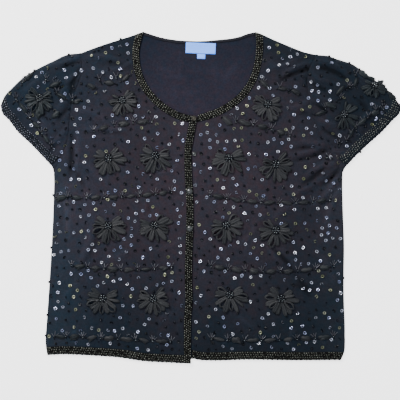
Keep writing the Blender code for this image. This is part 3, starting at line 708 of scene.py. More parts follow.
def walled(points, faces, top, under, ring, edge=()):
    """Points and faces of a closed wall. An edge that stands out round it gives it a rounded rim."""
    count = len(points)
    verts = [(x, y, z) for level in (top, under) for (x, y), z in zip(points, level)]
    verts += [(point.x, point.y, (top[index] + under[index]) / 2) for index, point in enumerate(edge)]
    solid = list(faces) + [tuple(index + count for index in reversed(face)) for face in faces]
    for index in range(ring):
        following = (index + 1) % ring
        below, next_below = count + index, count + following
        if edge:
            rim, next_rim = 2 * count + index, 2 * count + following
            solid += [(index, rim, next_rim, following), (rim, below, next_below, next_rim)]
        else:
            solid.append((index, below, next_below, following))
    return verts, solid


def laid_panel(name, node, wall, creases, finish, step=CLOTH_STEP):
    """One cut panel as a closed wall with a rounded rim."""
    edge = refined(outlines[node], step)
    loop = inward(edge, [RIM] * len(edge))
    points, faces = cut_sheet(loop, step)
    if node == "back":
        under = np.zeros(len(points))
        top = BACK_WALL + crease_heights(points, creases)
    else:
        under = np.maximum(lifted(points, faces, node, LOW_START, creases), LEAST_RISE)
        top = under + wall
    verts, solid = walled(points, faces, top, under, len(loop), edge)
    panel = new_piece(name, verts, solid, finish)
    keep_creases_for_painted_shade(panel, verts, creases)
    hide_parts(node)
    carriers.append(panel)
    print(name, "triangles:", sum(len(face) - 2 for face in solid))
    return panel


back_cloth = laid_panel("back_cloth", "back", BACK_WALL, BACK_CREASES, inner_knit, 5 * MM)
left_front_cloth = laid_panel("left_front_cloth", "left_front", FRONT_WALL, LEFT_FRONT_CREASES, knit)
right_front_cloth = laid_panel("right_front_cloth", "right_front", FRONT_WALL, RIGHT_FRONT_CREASES, knit)

# %% Find what lies on top at a place
PROBE_START = 50 * MM


def search_tree(pieces):
    """One search tree of the given pieces, and the name of the piece that each of its faces belongs to."""
    points, faces, owners = [], [], []
    for piece in pieces:
        first = len(points)
        points += [vert.co.copy() for vert in piece.data.vertices]
        faces += [tuple(first + index for index in face.vertices) for face in piece.data.polygons]
        owners += [piece.name] * len(piece.data.polygons)
    return BVHTree.FromPolygons(points, faces), owners


# %% The two sleeves, each a flattened tube
TUBE_WALL = 1.3 * MM
# Where the outline runs this near to the front or to the cuff band, the tube is open. Its cloth stops a
# little short of the cuff's end, and goes in under the front's edge.
MOUTH_NEAR = 1.6 * MM
CUFF_INSET = 0.2 * MM
ARMHOLE_TUCK = 1.1 * MM
# Over what distance the upper cloth rises to the armhole, and how far below the front's upper side it ends
SEAM_REACH = 10 * MM
SEAM_DEPTH = 0.75 * MM


def seam_lift(points, armhole, upper):
    """How far the cloth of a sleeve rises towards the armhole, where it meets the front's upper side."""
    front_tree, _ = search_tree(carriers)
    head, gaps = [], []
    for index in np.flatnonzero(armhole):
        hit, _, _, _ = front_tree.ray_cast((*points[index], PROBE_START), (0, 0, -1))
        if hit is not None:
            head.append(points[index])
            gaps.append(hit.z - SEAM_DEPTH - upper[index])
    away = np.hypot(*(points[:, None, :] - np.array(head)[None, :, :]).transpose(2, 0, 1))
    share = np.clip(1 - away.min(axis=1) / SEAM_REACH, 0, 1)
    return np.array(gaps)[away.argmin(axis=1)] * share**2 * (3 - 2 * share)


def flat_sleeve(side, creases):
    """A sleeve pressed flat: upper and lower cloth that meet at the folds and are open at both mouths."""
    node = side + "_sleeve"
    name = node + "_cloth"
    edge = refined(outlines[node], CLOTH_STEP)
    neighbours = (outlines[side + "_front"], outline_of(side + "_cuff_trim"))
    armhole, cuff = (reach_from(line + line[:1], edge) < MOUTH_NEAR for line in neighbours)
    mouth = armhole | cuff
    inset = np.where(armhole, -ARMHOLE_TUCK, np.where(cuff, CUFF_INSET, TUBE_WALL / 2))
    loop = inward(edge, inset)
    points, faces = cut_sheet(loop, CLOTH_STEP)
    upper = lifted(points, faces, node, SLOT_START, creases) + SLEEVE_WALL / 2
    upper += seam_lift(points, armhole, upper)
    lower = np.full(len(points), BACK_WALL / 2)
    upper = np.maximum(upper, lower + TUBE_WALL)
    middle = (upper + lower) / 2
    fold = np.zeros(len(points), bool)
    fold[:len(loop)] = ~mouth
    upper = np.where(fold, middle, upper)
    verts = [(x, y, z) for (x, y), z in zip(points, upper)]
    partner = {}
    for index, (x, y) in enumerate(points):
        if fold[index]:
            partner[index] = index
        else:
            partner[index] = len(verts)
            verts.append((x, y, lower[index]))
    tube = list(faces) + [tuple(partner[index] for index in reversed(face)) for face in faces]
    sleeve = new_piece(name, verts, tube, knit)
    keep_creases_for_painted_shade(sleeve, verts, creases)
    wall = sleeve.modifiers.new("wall", "SOLIDIFY")
    wall.thickness = TUBE_WALL
    wall.offset = 0.0
    bpy.context.view_layer.objects.active = sleeve
    bpy.ops.object.modifier_apply(modifier=wall.name)
    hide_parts(node)
    carriers.append(sleeve)
    print(name, "folded edge points:", int(fold.sum()), "of", len(loop))
    return sleeve


right_sleeve_cloth = flat_sleeve("right", RIGHT_SLEEVE_CREASES)
left_sleeve_cloth = flat_sleeve("left", LEFT_SLEEVE_CREASES)


# %% [markdown]
# ## Finishes of what is sewn on
#
# Each thing that is sewn on is modelled once and repeated in one joined mesh for each panel. A mesh like
# that keeps two things for its finish: the texture place of every face, and "tone", a number that differs
# from copy to copy, so that no two sequins or ribbons have quite the same colour.

# %% Ribbon, sequins, beads and bugles
def tone_of(material):
    """The number that each copy carries."""
    return add(material, "Attribute", attribute_name="tone").outputs["Fac"]


def grain(material, scale, detail=2.0):
    """Fine noise on the object's own coordinates."""
    return noise(material, add(material, "TexCoord").outputs["Object"], scale, detail)


RIBS = 260.0
RIB_RELIEF = (0.12 * MM, 0.6)
# The woven edge: where it begins across the ribbon, how strongly it is painted lighter, and its colour, a
# painted highlight along both edges
WOVEN_EDGE_AND_PAINTED_HIGHLIGHT = (0.43, 0.45, (0.080, 0.083, 0.090))
# Painted light: the ribbon's lighter colours in the middle of the garment
RIBBON_PAINTED_LIT_MIDDLE = ((0.011, 0.013, 0.016), (0.034, 0.035, 0.038))
# Painted shade: towards both sides of the garment, from the first distance on, the ribbon turns to the
# second, darker pair of colours
RIBBON_PAINTED_DIM_SIDES = ((0.005, 0.009, 0.012), (0.020, 0.028, 0.033))
PAINTED_DIM_START = 0.17
PAINTED_DIM_RISE = 16.0


def ribbon_finish():
    """Narrow satin ribbon: close ribs across its width, a woven edge on both sides painted lighter as a
    painted highlight, and painted shade towards the garment's sides.
    """
    material, shader = new_finish("ribbon", (0.02, 0.02, 0.02), 0.45, Sheen_Weight=0.04, Sheen_Roughness=0.35)
    shader.inputs["Specular IOR Level"].default_value = 0.25
    uv = add(material, "SeparateXYZ", {"Vector": add(material, "UVMap", uv_map="UVMap").outputs[0]})
    ribs = calc(material, "SINE", calc(material, "MULTIPLY", uv.outputs["X"], RIBS))
    side = calc(material, "ABSOLUTE", calc(material, "SUBTRACT", uv.outputs["Y"], 0.5))
    edge = calc(material, "GREATER_THAN", side, WOVEN_EDGE_AND_PAINTED_HIGHLIGHT[0])
    worn = calc(material, "MULTIPLY", grain(material, 160.0), 0.5)
    share = calc(material, "ADD", calc(material, "MULTIPLY", tone_of(material), 0.6), worn)
    middle = blend(material, share, *RIBBON_PAINTED_LIT_MIDDLE)
    sides = blend(material, share, *RIBBON_PAINTED_DIM_SIDES)
    # Painted shade: darker towards both sides of the garment
    place = add(material, "SeparateXYZ", {"Vector": add(material, "TexCoord").outputs["Object"]})
    out = calc(material, "SUBTRACT", calc(material, "ABSOLUTE", place.outputs["X"]), PAINTED_DIM_START)
    color = blend(material, calc(material, "MULTIPLY", out, PAINTED_DIM_RISE), middle, sides)
    # Painted highlight: both edges of the ribbon are lighter
    color = blend(material, calc(material, "MULTIPLY", edge, WOVEN_EDGE_AND_PAINTED_HIGHLIGHT[1]), color, WOVEN_EDGE_AND_PAINTED_HIGHLIGHT[2])
    feed(material, color, shader, "Base Color")
    height = calc(material, "ADD", calc(material, "MULTIPLY", ribs, 0.25), edge)
    raise_by(material, shader, height, *RIB_RELIEF)
    return material


# Scale of the fine noise that varies the gloss, how much it varies, and the scale and depth of the dents
GLOSS_GRAIN = 900.0
GLOSS_SPREAD = 0.18
DENT_GRAIN = 650.0
DENT_RELIEF = (0.25 * MM, 0.25)
COAT_ROUGHNESS = 0.08


def gloss_finish(name, low, high, roughness, metallic, coat=0.4, shine=0.5):
    """A glossy bead or sequin whose colour lies between two others, by the tone of each copy."""
    material, shader = new_finish(
        name, low, roughness, metallic, Coat_Weight=coat, Coat_Roughness=COAT_ROUGHNESS
    )
    shader.inputs["Specular IOR Level"].default_value = shine
    feed(material, blend(material, tone_of(material), low, high), shader, "Base Color")
    rough = calc(material, "MULTIPLY", grain(material, GLOSS_GRAIN), GLOSS_SPREAD)
    feed(material, calc(material, "ADD", rough, roughness - GLOSS_SPREAD / 2), shader, "Roughness")
    raise_by(material, shader, grain(material, DENT_GRAIN), *DENT_RELIEF)
    return material


ribbon = ribbon_finish()
silver_sequin = gloss_finish("silver_sequin", (0.24, 0.28, 0.45), (0.49, 0.51, 0.58), 0.27, 0.8)
gold_sequin = gloss_finish("gold_sequin", (0.13, 0.145, 0.075), (0.36, 0.37, 0.27), 0.3, 0.8)
dark_bead = gloss_finish("dark_bead", (0.001, 0.002, 0.004), (0.007, 0.009, 0.016), 0.2, 0.0, 0.0, 0.22)
smoke_bead = gloss_finish("smoke_bead", (0.004, 0.004, 0.006), (0.03, 0.03, 0.036), 0.25, 0.0, 0.0, 0.4)
pale_bead = gloss_finish("pale_bead", (0.33, 0.38, 0.39), (0.60, 0.67, 0.68), 0.35, 0.2)
gold_bugle = gloss_finish("gold_bugle", (0.008, 0.008, 0.006), (0.024, 0.024, 0.016), 0.4, 0.4)
pewter_bugle = gloss_finish("pewter_bugle", (0.07, 0.07, 0.085), (0.19, 0.185, 0.21), 0.32, 0.35)
seed_bead = gloss_finish("seed_bead", (0.21, 0.23, 0.19), (0.58, 0.61, 0.53), 0.35, 0.3)
frost_bead = gloss_finish("frost_bead", (0.17, 0.18, 0.25), (0.44, 0.45, 0.56), 0.35, 0.3)


WEAVE_RELIEF = (0.15 * MM, 0.7)


def woven_finish(name, low, high, rib, roughness, slant=0.0):
    """A close weave with ribs of a given pitch, used for the band's ground, the binding and the label."""
    material, shader = new_finish(name, low, roughness)
    shader.inputs["Specular IOR Level"].default_value = 0.12
    coords = add(material, "TexCoord").outputs["Object"]
    axes = add(material, "SeparateXYZ", {"Vector": coords})
    across = calc(material, "MULTIPLY", axes.outputs["X"], 2 * math.pi / rib)
    along = calc(material, "MULTIPLY", axes.outputs["Y"], 2 * math.pi / rib)
    across = calc(material, "ADD", across, calc(material, "MULTIPLY", along, slant))
    weave = calc(material, "MULTIPLY", calc(material, "SINE", across), calc(material, "SINE", along))
    share = calc(material, "ADD", calc(material, "MULTIPLY", weave, 0.3), grain(material, 420.0))
    feed(material, blend(material, share, low, high), shader, "Base Color")
    raise_by(material, shader, weave, *WEAVE_RELIEF)
    return material


band_ground = woven_finish("band_ground", (0.001, 0.001, 0.001), (0.005, 0.005, 0.004), 0.9 * MM, 0.7)
rib_knit = woven_finish("rib_knit", (0.010, 0.011, 0.016), (0.030, 0.029, 0.037), 1.1 * MM, 0.8, slant=0.5)
cuff_ground = woven_finish("cuff_ground", (0.003, 0.005, 0.008), (0.013, 0.018, 0.026), 1.1 * MM, 0.8)
label_cloth = woven_finish("label_cloth", (0.18, 0.40, 0.95), (0.30, 0.60, 0.95), 0.5 * MM, 0.5)

# The label is given a faint blue glow, painted light that makes it brighter than paint could be
PAINTED_LABEL_GLOW_COLOR = (0.06, 0.20, 1.0, 1.0)
PAINTED_LABEL_GLOW = 1.4
label_shader = label_cloth.node_tree.nodes["Principled BSDF"]
label_shader.inputs["Emission Color"].default_value = PAINTED_LABEL_GLOW_COLOR
label_shader.inputs["Emission Strength"].default_value = PAINTED_LABEL_GLOW
print("finishes:", len(bpy.data.materials))

# %% [markdown]
# ## Bands, binding and labels
#
# A band is a strip of dark ground cloth as wide as its solid, slightly crowned, laid on the front or the
# sleeve. The solid's outline is cut at its four corners into two long sides, and rows of points are set
# between them. The label and the size tab are small panels, made as the fronts are but with a plain rim.
# They are left bare.

# %% Find the cloth under a place
cloth_tree, cloth_owners = search_tree(carriers)


def cloth_at(x, y):
    """The height and the slope of what lies on top at a place, and its name; None beside the garment."""
    hit, normal, face, _ = cloth_tree.ray_cast((x, y, PROBE_START), (0, 0, -1))
    return None if hit is None else (hit.z, normal, cloth_owners[face])


# %% The two long sides of a band
BAND_STEP = 3 * MM
CORNER_ROOM = 4 * MM


def length_of(line):
    """The length of a line of points."""
    return sum((b - a).length for a, b in zip(line, line[1:]))


def even(line, count):
    """A line resampled to evenly spaced points."""
    reach = np.cumsum([0.0] + [(b - a).length for a, b in zip(line, line[1:])])
    wanted = np.linspace(0, reach[-1], count)
    spread = [np.interp(wanted, reach, [point[axis] for point in line]) for axis in (0, 1)]
    return [Vector(pair) for pair in zip(*spread)]


def sides_of(node):
    """The two long sides of a band's outline, side by side. The second lies nearer the garment's edge."""
    loop = refined(outline_of(node), BAND_STEP)
    turns = turns_of(loop)
    corners = []
    for index in sorted(range(len(loop)), key=lambda index: -turns[index]):
        if len(corners) < 4 and all((loop[index] - loop[corner]).length > CORNER_ROOM for corner in corners):
            corners.append(index)
    corners.sort()
    sides = []
    for start, end in zip(corners, corners[1:] + [corners[0] + len(loop)]):
        sides.append([loop[index % len(loop)] for index in range(start, end + 1)])
    lengths = [length_of(side) for side in sides]
    first = 0 if lengths[0] + lengths[2] > lengths[1] + lengths[3] else 1
    pair = [sides[first], sides[first + 2][::-1]]
    pair.sort(key=lambda side: sum(point.length for point in side) / len(side))
    count = round(max(lengths) / BAND_STEP) + 1
    return even(pair[0], count), even(pair[1], count)


# %% Lay the bands and the binding
BAND_GAP = 0.15 * MM
BAND_WALL = 1.25 * MM
# Round a band's cross section: the place from -1 to 1 across it, and the height as a share of its wall
BAND_PROFILE = (
    (-1, 0.5), (-0.92, 0.9), (-0.5, 1.15), (0, 1.25), (0.5, 1.15),
    (0.92, 0.9), (1, 0.5), (0.92, 0.08), (0, 0), (-0.92, 0.08),
)
# The cloth's height is probed a little inside a band's sides and ends
PROBE_SHARE = 0.82
PROBE_END = 0.4
bands = {}


def between(band, row, share):
    """A place on a band: row counts along it, and share goes from -1 to 1 across it."""
    inner, outer = band
    low = min(int(row), len(inner) - 2)
    part = row - low
    return inner[low].lerp(inner[low + 1], part).lerp(outer[low].lerp(outer[low + 1], part), (share + 1) / 2)


def laid_band(name, node, finish):
    """A strip of cloth on its carrier, with rounded sides and closed ends."""
    band = sides_of(node)
    rows = len(band[0])
    ring = len(BAND_PROFILE)
    verts = []
    level = 0.0
    for row in range(rows):
        probe_row = min(max(row, PROBE_END), rows - (1 + PROBE_END))
        for share, rise in BAND_PROFILE:
            probe = between(band, probe_row, share * PROBE_SHARE)
            found = cloth_at(probe.x, probe.y)
            level = found[0] if found else level
            place = between(band, row, share)
            verts.append((place.x, place.y, level + BAND_GAP + rise * BAND_WALL))
    faces = [tuple(range(ring)), tuple((rows - 1) * ring + index for index in reversed(range(ring)))]
    for row in range(rows - 1):
        for index in range(ring):
            following = (index + 1) % ring
            faces.append((
                row * ring + index, row * ring + following,
                (row + 1) * ring + following, (row + 1) * ring + index,
            ))
    strip = new_piece(name, verts, faces, finish)
    mesh = bmesh.new()
    mesh.from_mesh(strip.data)
    bmesh.ops.recalc_face_normals(mesh, faces=mesh.faces)
    mesh.to_mesh(strip.data)
    mesh.free()
    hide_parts(node)
    bands[name] = band
    middle = [between(band, row, 0) for row in range(rows)]
    width = (band[0][rows // 2] - band[1][rows // 2]).length
    print(name, "length", round(length_of(middle) / MM), "mm, width", round(width / MM, 1), "mm")
    return strip


strips = {
    name: laid_band(name, node, cuff_ground if "cuff" in name else band_ground)
    for name, node in (
        ("right_neck_band", "right_neck_trim"), ("left_neck_band", "left_neck_trim"),
        ("closing_band", "right_edge_trim"), ("right_hem_band", "right_hem_trim"),
        ("left_hem_band", "left_hem_trim"), ("right_cuff_band", "right_cuff_trim"),
        ("left_cuff_band", "left_cuff_trim"),
    )
}
binding = laid_band("neck_binding", "back_neck_binding", rib_knit)
carriers += list(strips.values()) + [binding]
cloth_tree, cloth_owners = search_tree(carriers)

# %% The bare label and size tab
LABEL_STEP = 2.2 * MM
LABEL_WALL = 0.5 * MM
LABEL_INSET = 0.15 * MM
LABEL_CREASES = (
    (-24, 250, 0, 262, 1, 4, 0.25),
    (8, 260, 24, 246, -1, 4, 0.2),
)


def small_panel(name, node, creases):
    """The label and the tab, made as the fronts are but thinner."""
    edge = refined(outlines[node], LABEL_STEP)
    loop = inward(edge, [LABEL_INSET] * len(edge))
    points, faces = cut_sheet(loop, LABEL_STEP)
    under = lifted(points, faces, node, LOW_START, creases)
    verts, solid = walled(points, faces, under + LABEL_WALL, under, len(loop))
    panel = new_piece(name, verts, solid, label_cloth)
    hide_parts(node)
    return panel


neck_label = small_panel("neck_label", "label", LABEL_CREASES)
neck_tab = small_panel("neck_tab", "size_tab", ())


# %% [markdown]
# ## Modelling one of each small thing
#
# Beads, bugles and sequins start from a primitive that is shaped in edit mode: the poles of a sphere are
# pushed in where the thread goes through, the ends of a tube are inset and pushed in, and the rim of a
# sequin is extruded inwards twice to make its cup. The petals and leaves are ribbon, so they are strips of
# cloth: rows of points across the ribbon, joined up and given a wall.

# %% Keep a model as a pattern to copy
def pattern_of(thing, smooth=True):
    """A model's points, faces, texture places and shading; the model itself is then removed."""
    mesh = thing.data
    points = np.array([tuple(vert.co) for vert in mesh.vertices])
    faces = [tuple(face.vertices) for face in mesh.polygons]
    uvs = [(0.5, 0.5)] * len(mesh.loops)
    if mesh.uv_layers:
        uvs = [tuple(corner.uv) for corner in mesh.uv_layers[0].data]
    bpy.data.objects.remove(thing)
    return {"points": points, "faces": faces, "uvs": uvs, "soft": [smooth] * len(faces)}


def pick(thing, test):
    """Select just the points that pass a test. The thing is in edit mode."""
    mesh = bmesh.from_edit_mesh(thing.data)
    for face in mesh.faces:
        face.select = False
    for edge in mesh.edges:
        edge.select = False
    for vert in mesh.verts:
        vert.select = test(vert.co)
    mesh.select_flush(True)
    bmesh.update_edit_mesh(thing.data)


# Shares of a bead's radius: where its poles begin and how far they are pushed in
POLE_SHARE = 0.95
HOLE_DEPTH = 0.45


def round_bead(radius, squash, sides=8, rings=5):
    """A bead whose ends are pushed in around its thread hole."""
    bpy.ops.object.select_all(action="DESELECT")
    bpy.ops.mesh.primitive_uv_sphere_add(segments=sides, ring_count=rings, radius=radius)
    bead = bpy.context.object
    bpy.ops.object.mode_set(mode="EDIT")
    for end in (-1, 1):
        pick(bead, lambda point: point.z * end > POLE_SHARE * radius)
        bpy.ops.transform.translate(value=(0, 0, -end * HOLE_DEPTH * radius))
    bpy.ops.mesh.select_all(action="SELECT")
    bpy.ops.transform.resize(value=(1, 1, squash))
    bpy.ops.object.mode_set(mode="OBJECT")
    return pattern_of(bead)


# Shares of a bugle's radius: the thickness of its glass and the depth of its hollow ends
GLASS_SHARE = 0.4
HOLLOW_SHARE = 0.5


def bugle(radius, length, sides=6):
    """A thin glass tube along X with hollow ends."""
    bpy.ops.object.select_all(action="DESELECT")
    bpy.ops.mesh.primitive_cylinder_add(
        vertices=sides, radius=radius, depth=length, end_fill_type="NGON", rotation=(0, math.pi / 2, 0)
    )
    tube = bpy.context.object
    bpy.ops.object.transform_apply(location=False, rotation=True, scale=False)
    bpy.ops.object.mode_set(mode="EDIT")
    for end in (-1, 1):
        pick(tube, lambda point: point.x * end > 0.4 * length)
        bpy.ops.mesh.inset(thickness=GLASS_SHARE * radius, depth=0)
        bpy.ops.transform.translate(value=(-end * HOLLOW_SHARE * radius, 0, 0))
    bpy.ops.object.mode_set(mode="OBJECT")
    return pattern_of(tube, smooth=False)


# Where a sequin's sloping wall meets its floor, as shares of its radius and of its depth
FLOOR_SHARE = 0.62
FLOOR_DEPTH = 0.75
SEQUIN_WALL = 0.12 * MM


def cup_sequin(radius, depth, sides=12, hole=0.2):
    """A cup sequin: a rim, a sloping wall, a flatter floor and a hole in the middle."""
    bpy.ops.object.select_all(action="DESELECT")
    bpy.ops.mesh.primitive_circle_add(vertices=sides, radius=radius, fill_type="NOTHING")
    cup = bpy.context.object
    bpy.ops.object.mode_set(mode="EDIT")
    bpy.ops.mesh.select_all(action="SELECT")
    for shrink, drop in ((FLOOR_SHARE, FLOOR_DEPTH), (hole / FLOOR_SHARE, 1 - FLOOR_DEPTH)):
        bpy.ops.mesh.extrude_region_move(TRANSFORM_OT_translate={"value": (0, 0, -depth * drop)})
        bpy.ops.transform.resize(value=(shrink, shrink, 1))
    bpy.ops.mesh.select_all(action="SELECT")
    bpy.ops.mesh.normals_make_consistent(inside=False)
    bpy.ops.transform.translate(value=(0, 0, depth))
    bpy.ops.object.mode_set(mode="OBJECT")
    if cup.data.polygons[0].normal.z < 0:
        cup.data.flip_normals()
    wall = cup.modifiers.new("wall", "SOLIDIFY")
    wall.thickness = SEQUIN_WALL
    wall.offset = 0.0
    bpy.ops.object.modifier_apply(modifier=wall.name)
    return pattern_of(cup)


BUGLE_RADIUS = 0.36 * MM
SMALL_LENGTH = 4.3 * MM
BEAD = round_bead(1.0 * MM, 0.75)
SMALL_BUGLE = bugle(BUGLE_RADIUS, SMALL_LENGTH)
LONG_BUGLE = bugle(BUGLE_RADIUS, 2 * SMALL_LENGTH)
SEQUIN = cup_sequin(2.85 * MM, 0.95 * MM)
print("faces of a bead, a bugle and a sequin:", *[len(part["faces"]) for part in (BEAD, SMALL_BUGLE, SEQUIN)])

# %% Ribbon petals and leaves
RIBBON_WALL = 0.25 * MM
# Across a ribbon: the place from -1 to 1, and the rise in millimetres. A pressed loop has a groove between
# its two sides, and a folded leaf has one side turned over.
CROWNED = ((-1, -0.5), (-0.55, 0.5), (0, 0.8), (0.55, 0.5), (1, -0.5))
GROOVED = ((-1, -0.6), (-0.62, 0.7), (-0.12, -0.7), (0.12, -0.7), (0.62, 0.7), (1, -0.6))
TURNED = ((-1, -0.5), (-0.4, 0.2), (0.1, 0.9), (0.3, -0.2), (1, -0.4))
# Each row is the distance from the flower's middle, the half width and the height, in millimetres
FLAT_PETAL = (
    (6, 1.3, 0.4), (9, 2.4, 0.9), (13, 3.2, 1.3), (17.5, 3.7, 1.5), (22, 3.9, 1.7), (26.5, 3.6, 1.8),
    (30, 2.6, 1.7), (31.8, 1.1, 1.2),
)
SLIM_PETAL = (
    (6, 0.9, 0.5), (10, 1.4, 1.1), (15, 2.0, 1.7), (20, 2.4, 2.0), (25, 2.3, 2.0), (28.6, 1.6, 1.7),
    (30.8, 0.6, 1.2),
)
LEAF = (
    (-8, 0.6, 0.5), (-6, 2.3, 1.1), (-3, 3.7, 1.5), (0.5, 4.2, 1.7), (4, 3.6, 1.6), (6.8, 2.2, 1.3),
    (8.6, 0.5, 0.6),
)
FOLDED_LEAF = (
    (-8.6, 1.4, 0.5), (-6, 3.4, 1.4), (-2.5, 4.4, 2.0), (1, 3.2, 2.2), (4, 4.1, 1.7), (6.6, 2.9, 1.2),
    (8.4, 1.6, 0.7),
)
LOOP_WIDTHS = (0.7, 1.5, 2.4, 3.2, 3.8, 4.0, 3.7, 2.6)
# Up the side of a standing loop: the share of its lean and of its height
STANDING = ((0, 0.05), (0.2, 0.75), (1, 1))


def ribbon_pattern(rows):
    """A piece of ribbon from rows of points that go from one of its sides to the other."""
    across = len(rows[0])
    verts = [tuple(point) for row in rows for point in row]
    faces = []
    for row in range(len(rows) - 1):
        for column in range(across - 1):
            first = row * across + column
            faces.append((first, first + across, first + across + 1, first + 1))
    mesh = bpy.data.meshes.new("ribbon_piece")
    mesh.from_pydata(verts, [], faces)
    layer = mesh.uv_layers.new(name="UVMap")
    for corner, loop in zip(layer.data, mesh.loops):
        row, column = divmod(loop.vertex_index, across)
        corner.uv = (row / (len(rows) - 1), column / (across - 1))
    piece = bpy.data.objects.new("ribbon_piece", mesh)
    bpy.context.scene.collection.objects.link(piece)
    bpy.context.view_layer.objects.active = piece
    wall = piece.modifiers.new("wall", "SOLIDIFY")
    wall.thickness = RIBBON_WALL
    wall.offset = 0.0
    bpy.ops.object.modifier_apply(modifier=wall.name)
    return pattern_of(piece)


def flat_ribbon(table, profile):
    """A ribbon that lies flat. The profile gives the rise across it, from one side to the other."""
    return ribbon_pattern([
        [Vector((reach, share * half, height + rise)) * MM for share, rise in reversed(profile)]
        for reach, half, height in table
    ])


def open_loop(start, end, width, height, lean):
    """A ribbon that stands on its side, out and back round an open middle; lean tips its upper edge."""
    reach = [start + (end - start) * index / len(LOOP_WIDTHS) for index in range(len(LOOP_WIDTHS))]
    line = [Vector((x, half * width)) for x, half in zip(reach, LOOP_WIDTHS)]
    line += [Vector((end, 0))] + [Vector((point.x, -point.y)) for point in reversed(line)]
    rows = []
    for index, point in enumerate(line):
        ahead = line[min(index + 1, len(line) - 1)] - line[max(index - 1, 0)]
        outward = Vector((-ahead.y, ahead.x)).normalized()
        rows.append([
            Vector((point.x + outward.x * lean * out, point.y + outward.y * lean * out, height * up)) * MM
            for out, up in STANDING
        ])
    return ribbon_pattern([row[::-1] for row in rows])


PETALS = {
    "f": flat_ribbon(FLAT_PETAL, GROOVED),
    "n": flat_ribbon(SLIM_PETAL, CROWNED),
    "o": open_loop(6.0, 30.5, 1.05, 3.4, -2.0),
    "w": open_loop(6.0, 31.5, 1.4, 3.2, -2.3),
}
LEAVES = {"plain": flat_ribbon(LEAF, CROWNED), "folded": flat_ribbon(FOLDED_LEAF, TURNED)}
print("faces of a petal and a loop:", len(PETALS["f"]["faces"]), len(PETALS["o"]["faces"]))

# %% Set a copy on the cloth, and join all copies on one panel
# How far ribbon sinks where it reaches past the cloth's edge, and the height that nothing goes below
BESIDE_DROP = 0.5 * MM
LEAST_HEIGHT = 0.05 * MM


def set_rigid(pattern, x, y, turn=0.0, lift=0.0, tilt=(0.0, 0.0), size=(1.0, 1.0, 1.0)):
    """A stiff thing that stands on the cloth, its own Z square to the cloth. Lengths are in metres."""
    found = cloth_at(x, y)
    if found is None:
        return None
    z, normal, owner = found
    along = Vector((math.cos(turn), math.sin(turn), 0))
    along = (along - normal * along.dot(normal)).normalized()
    axes = Matrix((along, normal.cross(along), normal)).transposed() @ Euler((*tilt, 0)).to_matrix()
    place = Vector((x, y, z)) + normal * lift
    points = pattern["points"] * np.array(size) @ np.array(axes).T + np.array(place)
    points[:, 2] = np.maximum(points[:, 2], LEAST_HEIGHT)
    return owner, points


def set_draped(pattern, x, y, turn, lift=0.0, size=(1.0, 1.0, 1.0)):
    """A piece of ribbon that follows the cloth below each of its points."""
    middle = cloth_at(x, y)
    if middle is None:
        return None
    cosine, sine = math.cos(turn), math.sin(turn)
    points = pattern["points"] * np.array(size) @ np.array(((cosine, sine, 0), (-sine, cosine, 0), (0, 0, 1)))
    points += np.array((x, y, lift))
    owner = middle[2]
    for point in points:
        found = cloth_at(point[0], point[1])
        point[2] += found[0] if found else middle[0] - BESIDE_DROP
    points[:, 2] = np.maximum(points[:, 2], LEAST_HEIGHT)
    return owner, points


def sew(kind, pattern, copies, finish):
    """One joined mesh on each panel of the copies that were set there. A copy is (owner, points, tone)."""
    panels = {}
    for owner, points, tone in copies:
        panels.setdefault(owner.replace("_cloth", ""), []).append((points, tone))
    count = len(pattern["points"])
    made = {}
    for panel in sorted(panels):
        name = panel + "_" + kind
        times = len(panels[panel])
        points = np.concatenate([points for points, _ in panels[panel]])
        faces = [
            tuple(index + count * copy for index in face)
            for copy in range(times) for face in pattern["faces"]
        ]
        piece = new_piece(name, points, faces, finish)
        mesh = piece.data
        mesh.polygons.foreach_set("use_smooth", pattern["soft"] * times)
        layer = mesh.uv_layers.new(name="UVMap")
        layer.data.foreach_set("uv", np.tile(np.array(pattern["uvs"]), (times, 1)).ravel())
        tones = mesh.attributes.new("tone", "FLOAT", "POINT")
        tones.data.foreach_set("value", np.repeat([tone for _, tone in panels[panel]], count))
        made[panel] = piece
    print(kind, {panel: len(copies) for panel, copies in panels.items()})
    return made


trimmings = {}


def keep(made):
    """Remember what is sewn on each panel."""
    for panel, piece in made.items():
        trimmings.setdefault(panel, []).append(piece)


dice = random.Random(41)


def put(copies, laid):
    """Add a copy, with a tone of its own, unless its place was beside the cloth."""
    if laid:
        copies.append((*laid, dice.random()))


def put_bead(copies, x, y, bulk, lift, turn=0.0, tilt=(0.0, 0.0)):
    """Put a bead of the given bulk on the cloth. Lengths are in metres."""
    put(copies, set_rigid(BEAD, x, y, turn, lift, tilt, (bulk, bulk, bulk)))


# %% [markdown]
# ## Ribbon flowers
#
# A flower is up to thirteen loops of narrow satin ribbon round a cluster of beads, close at its sides and
# below and open above. Most loops are pressed flat, some of these are slim, and the others stand open, so
# that the cloth shows through them as a dark drop. The letters say which: f flat, n slim, o open, w wide
# open, and a dash for none.

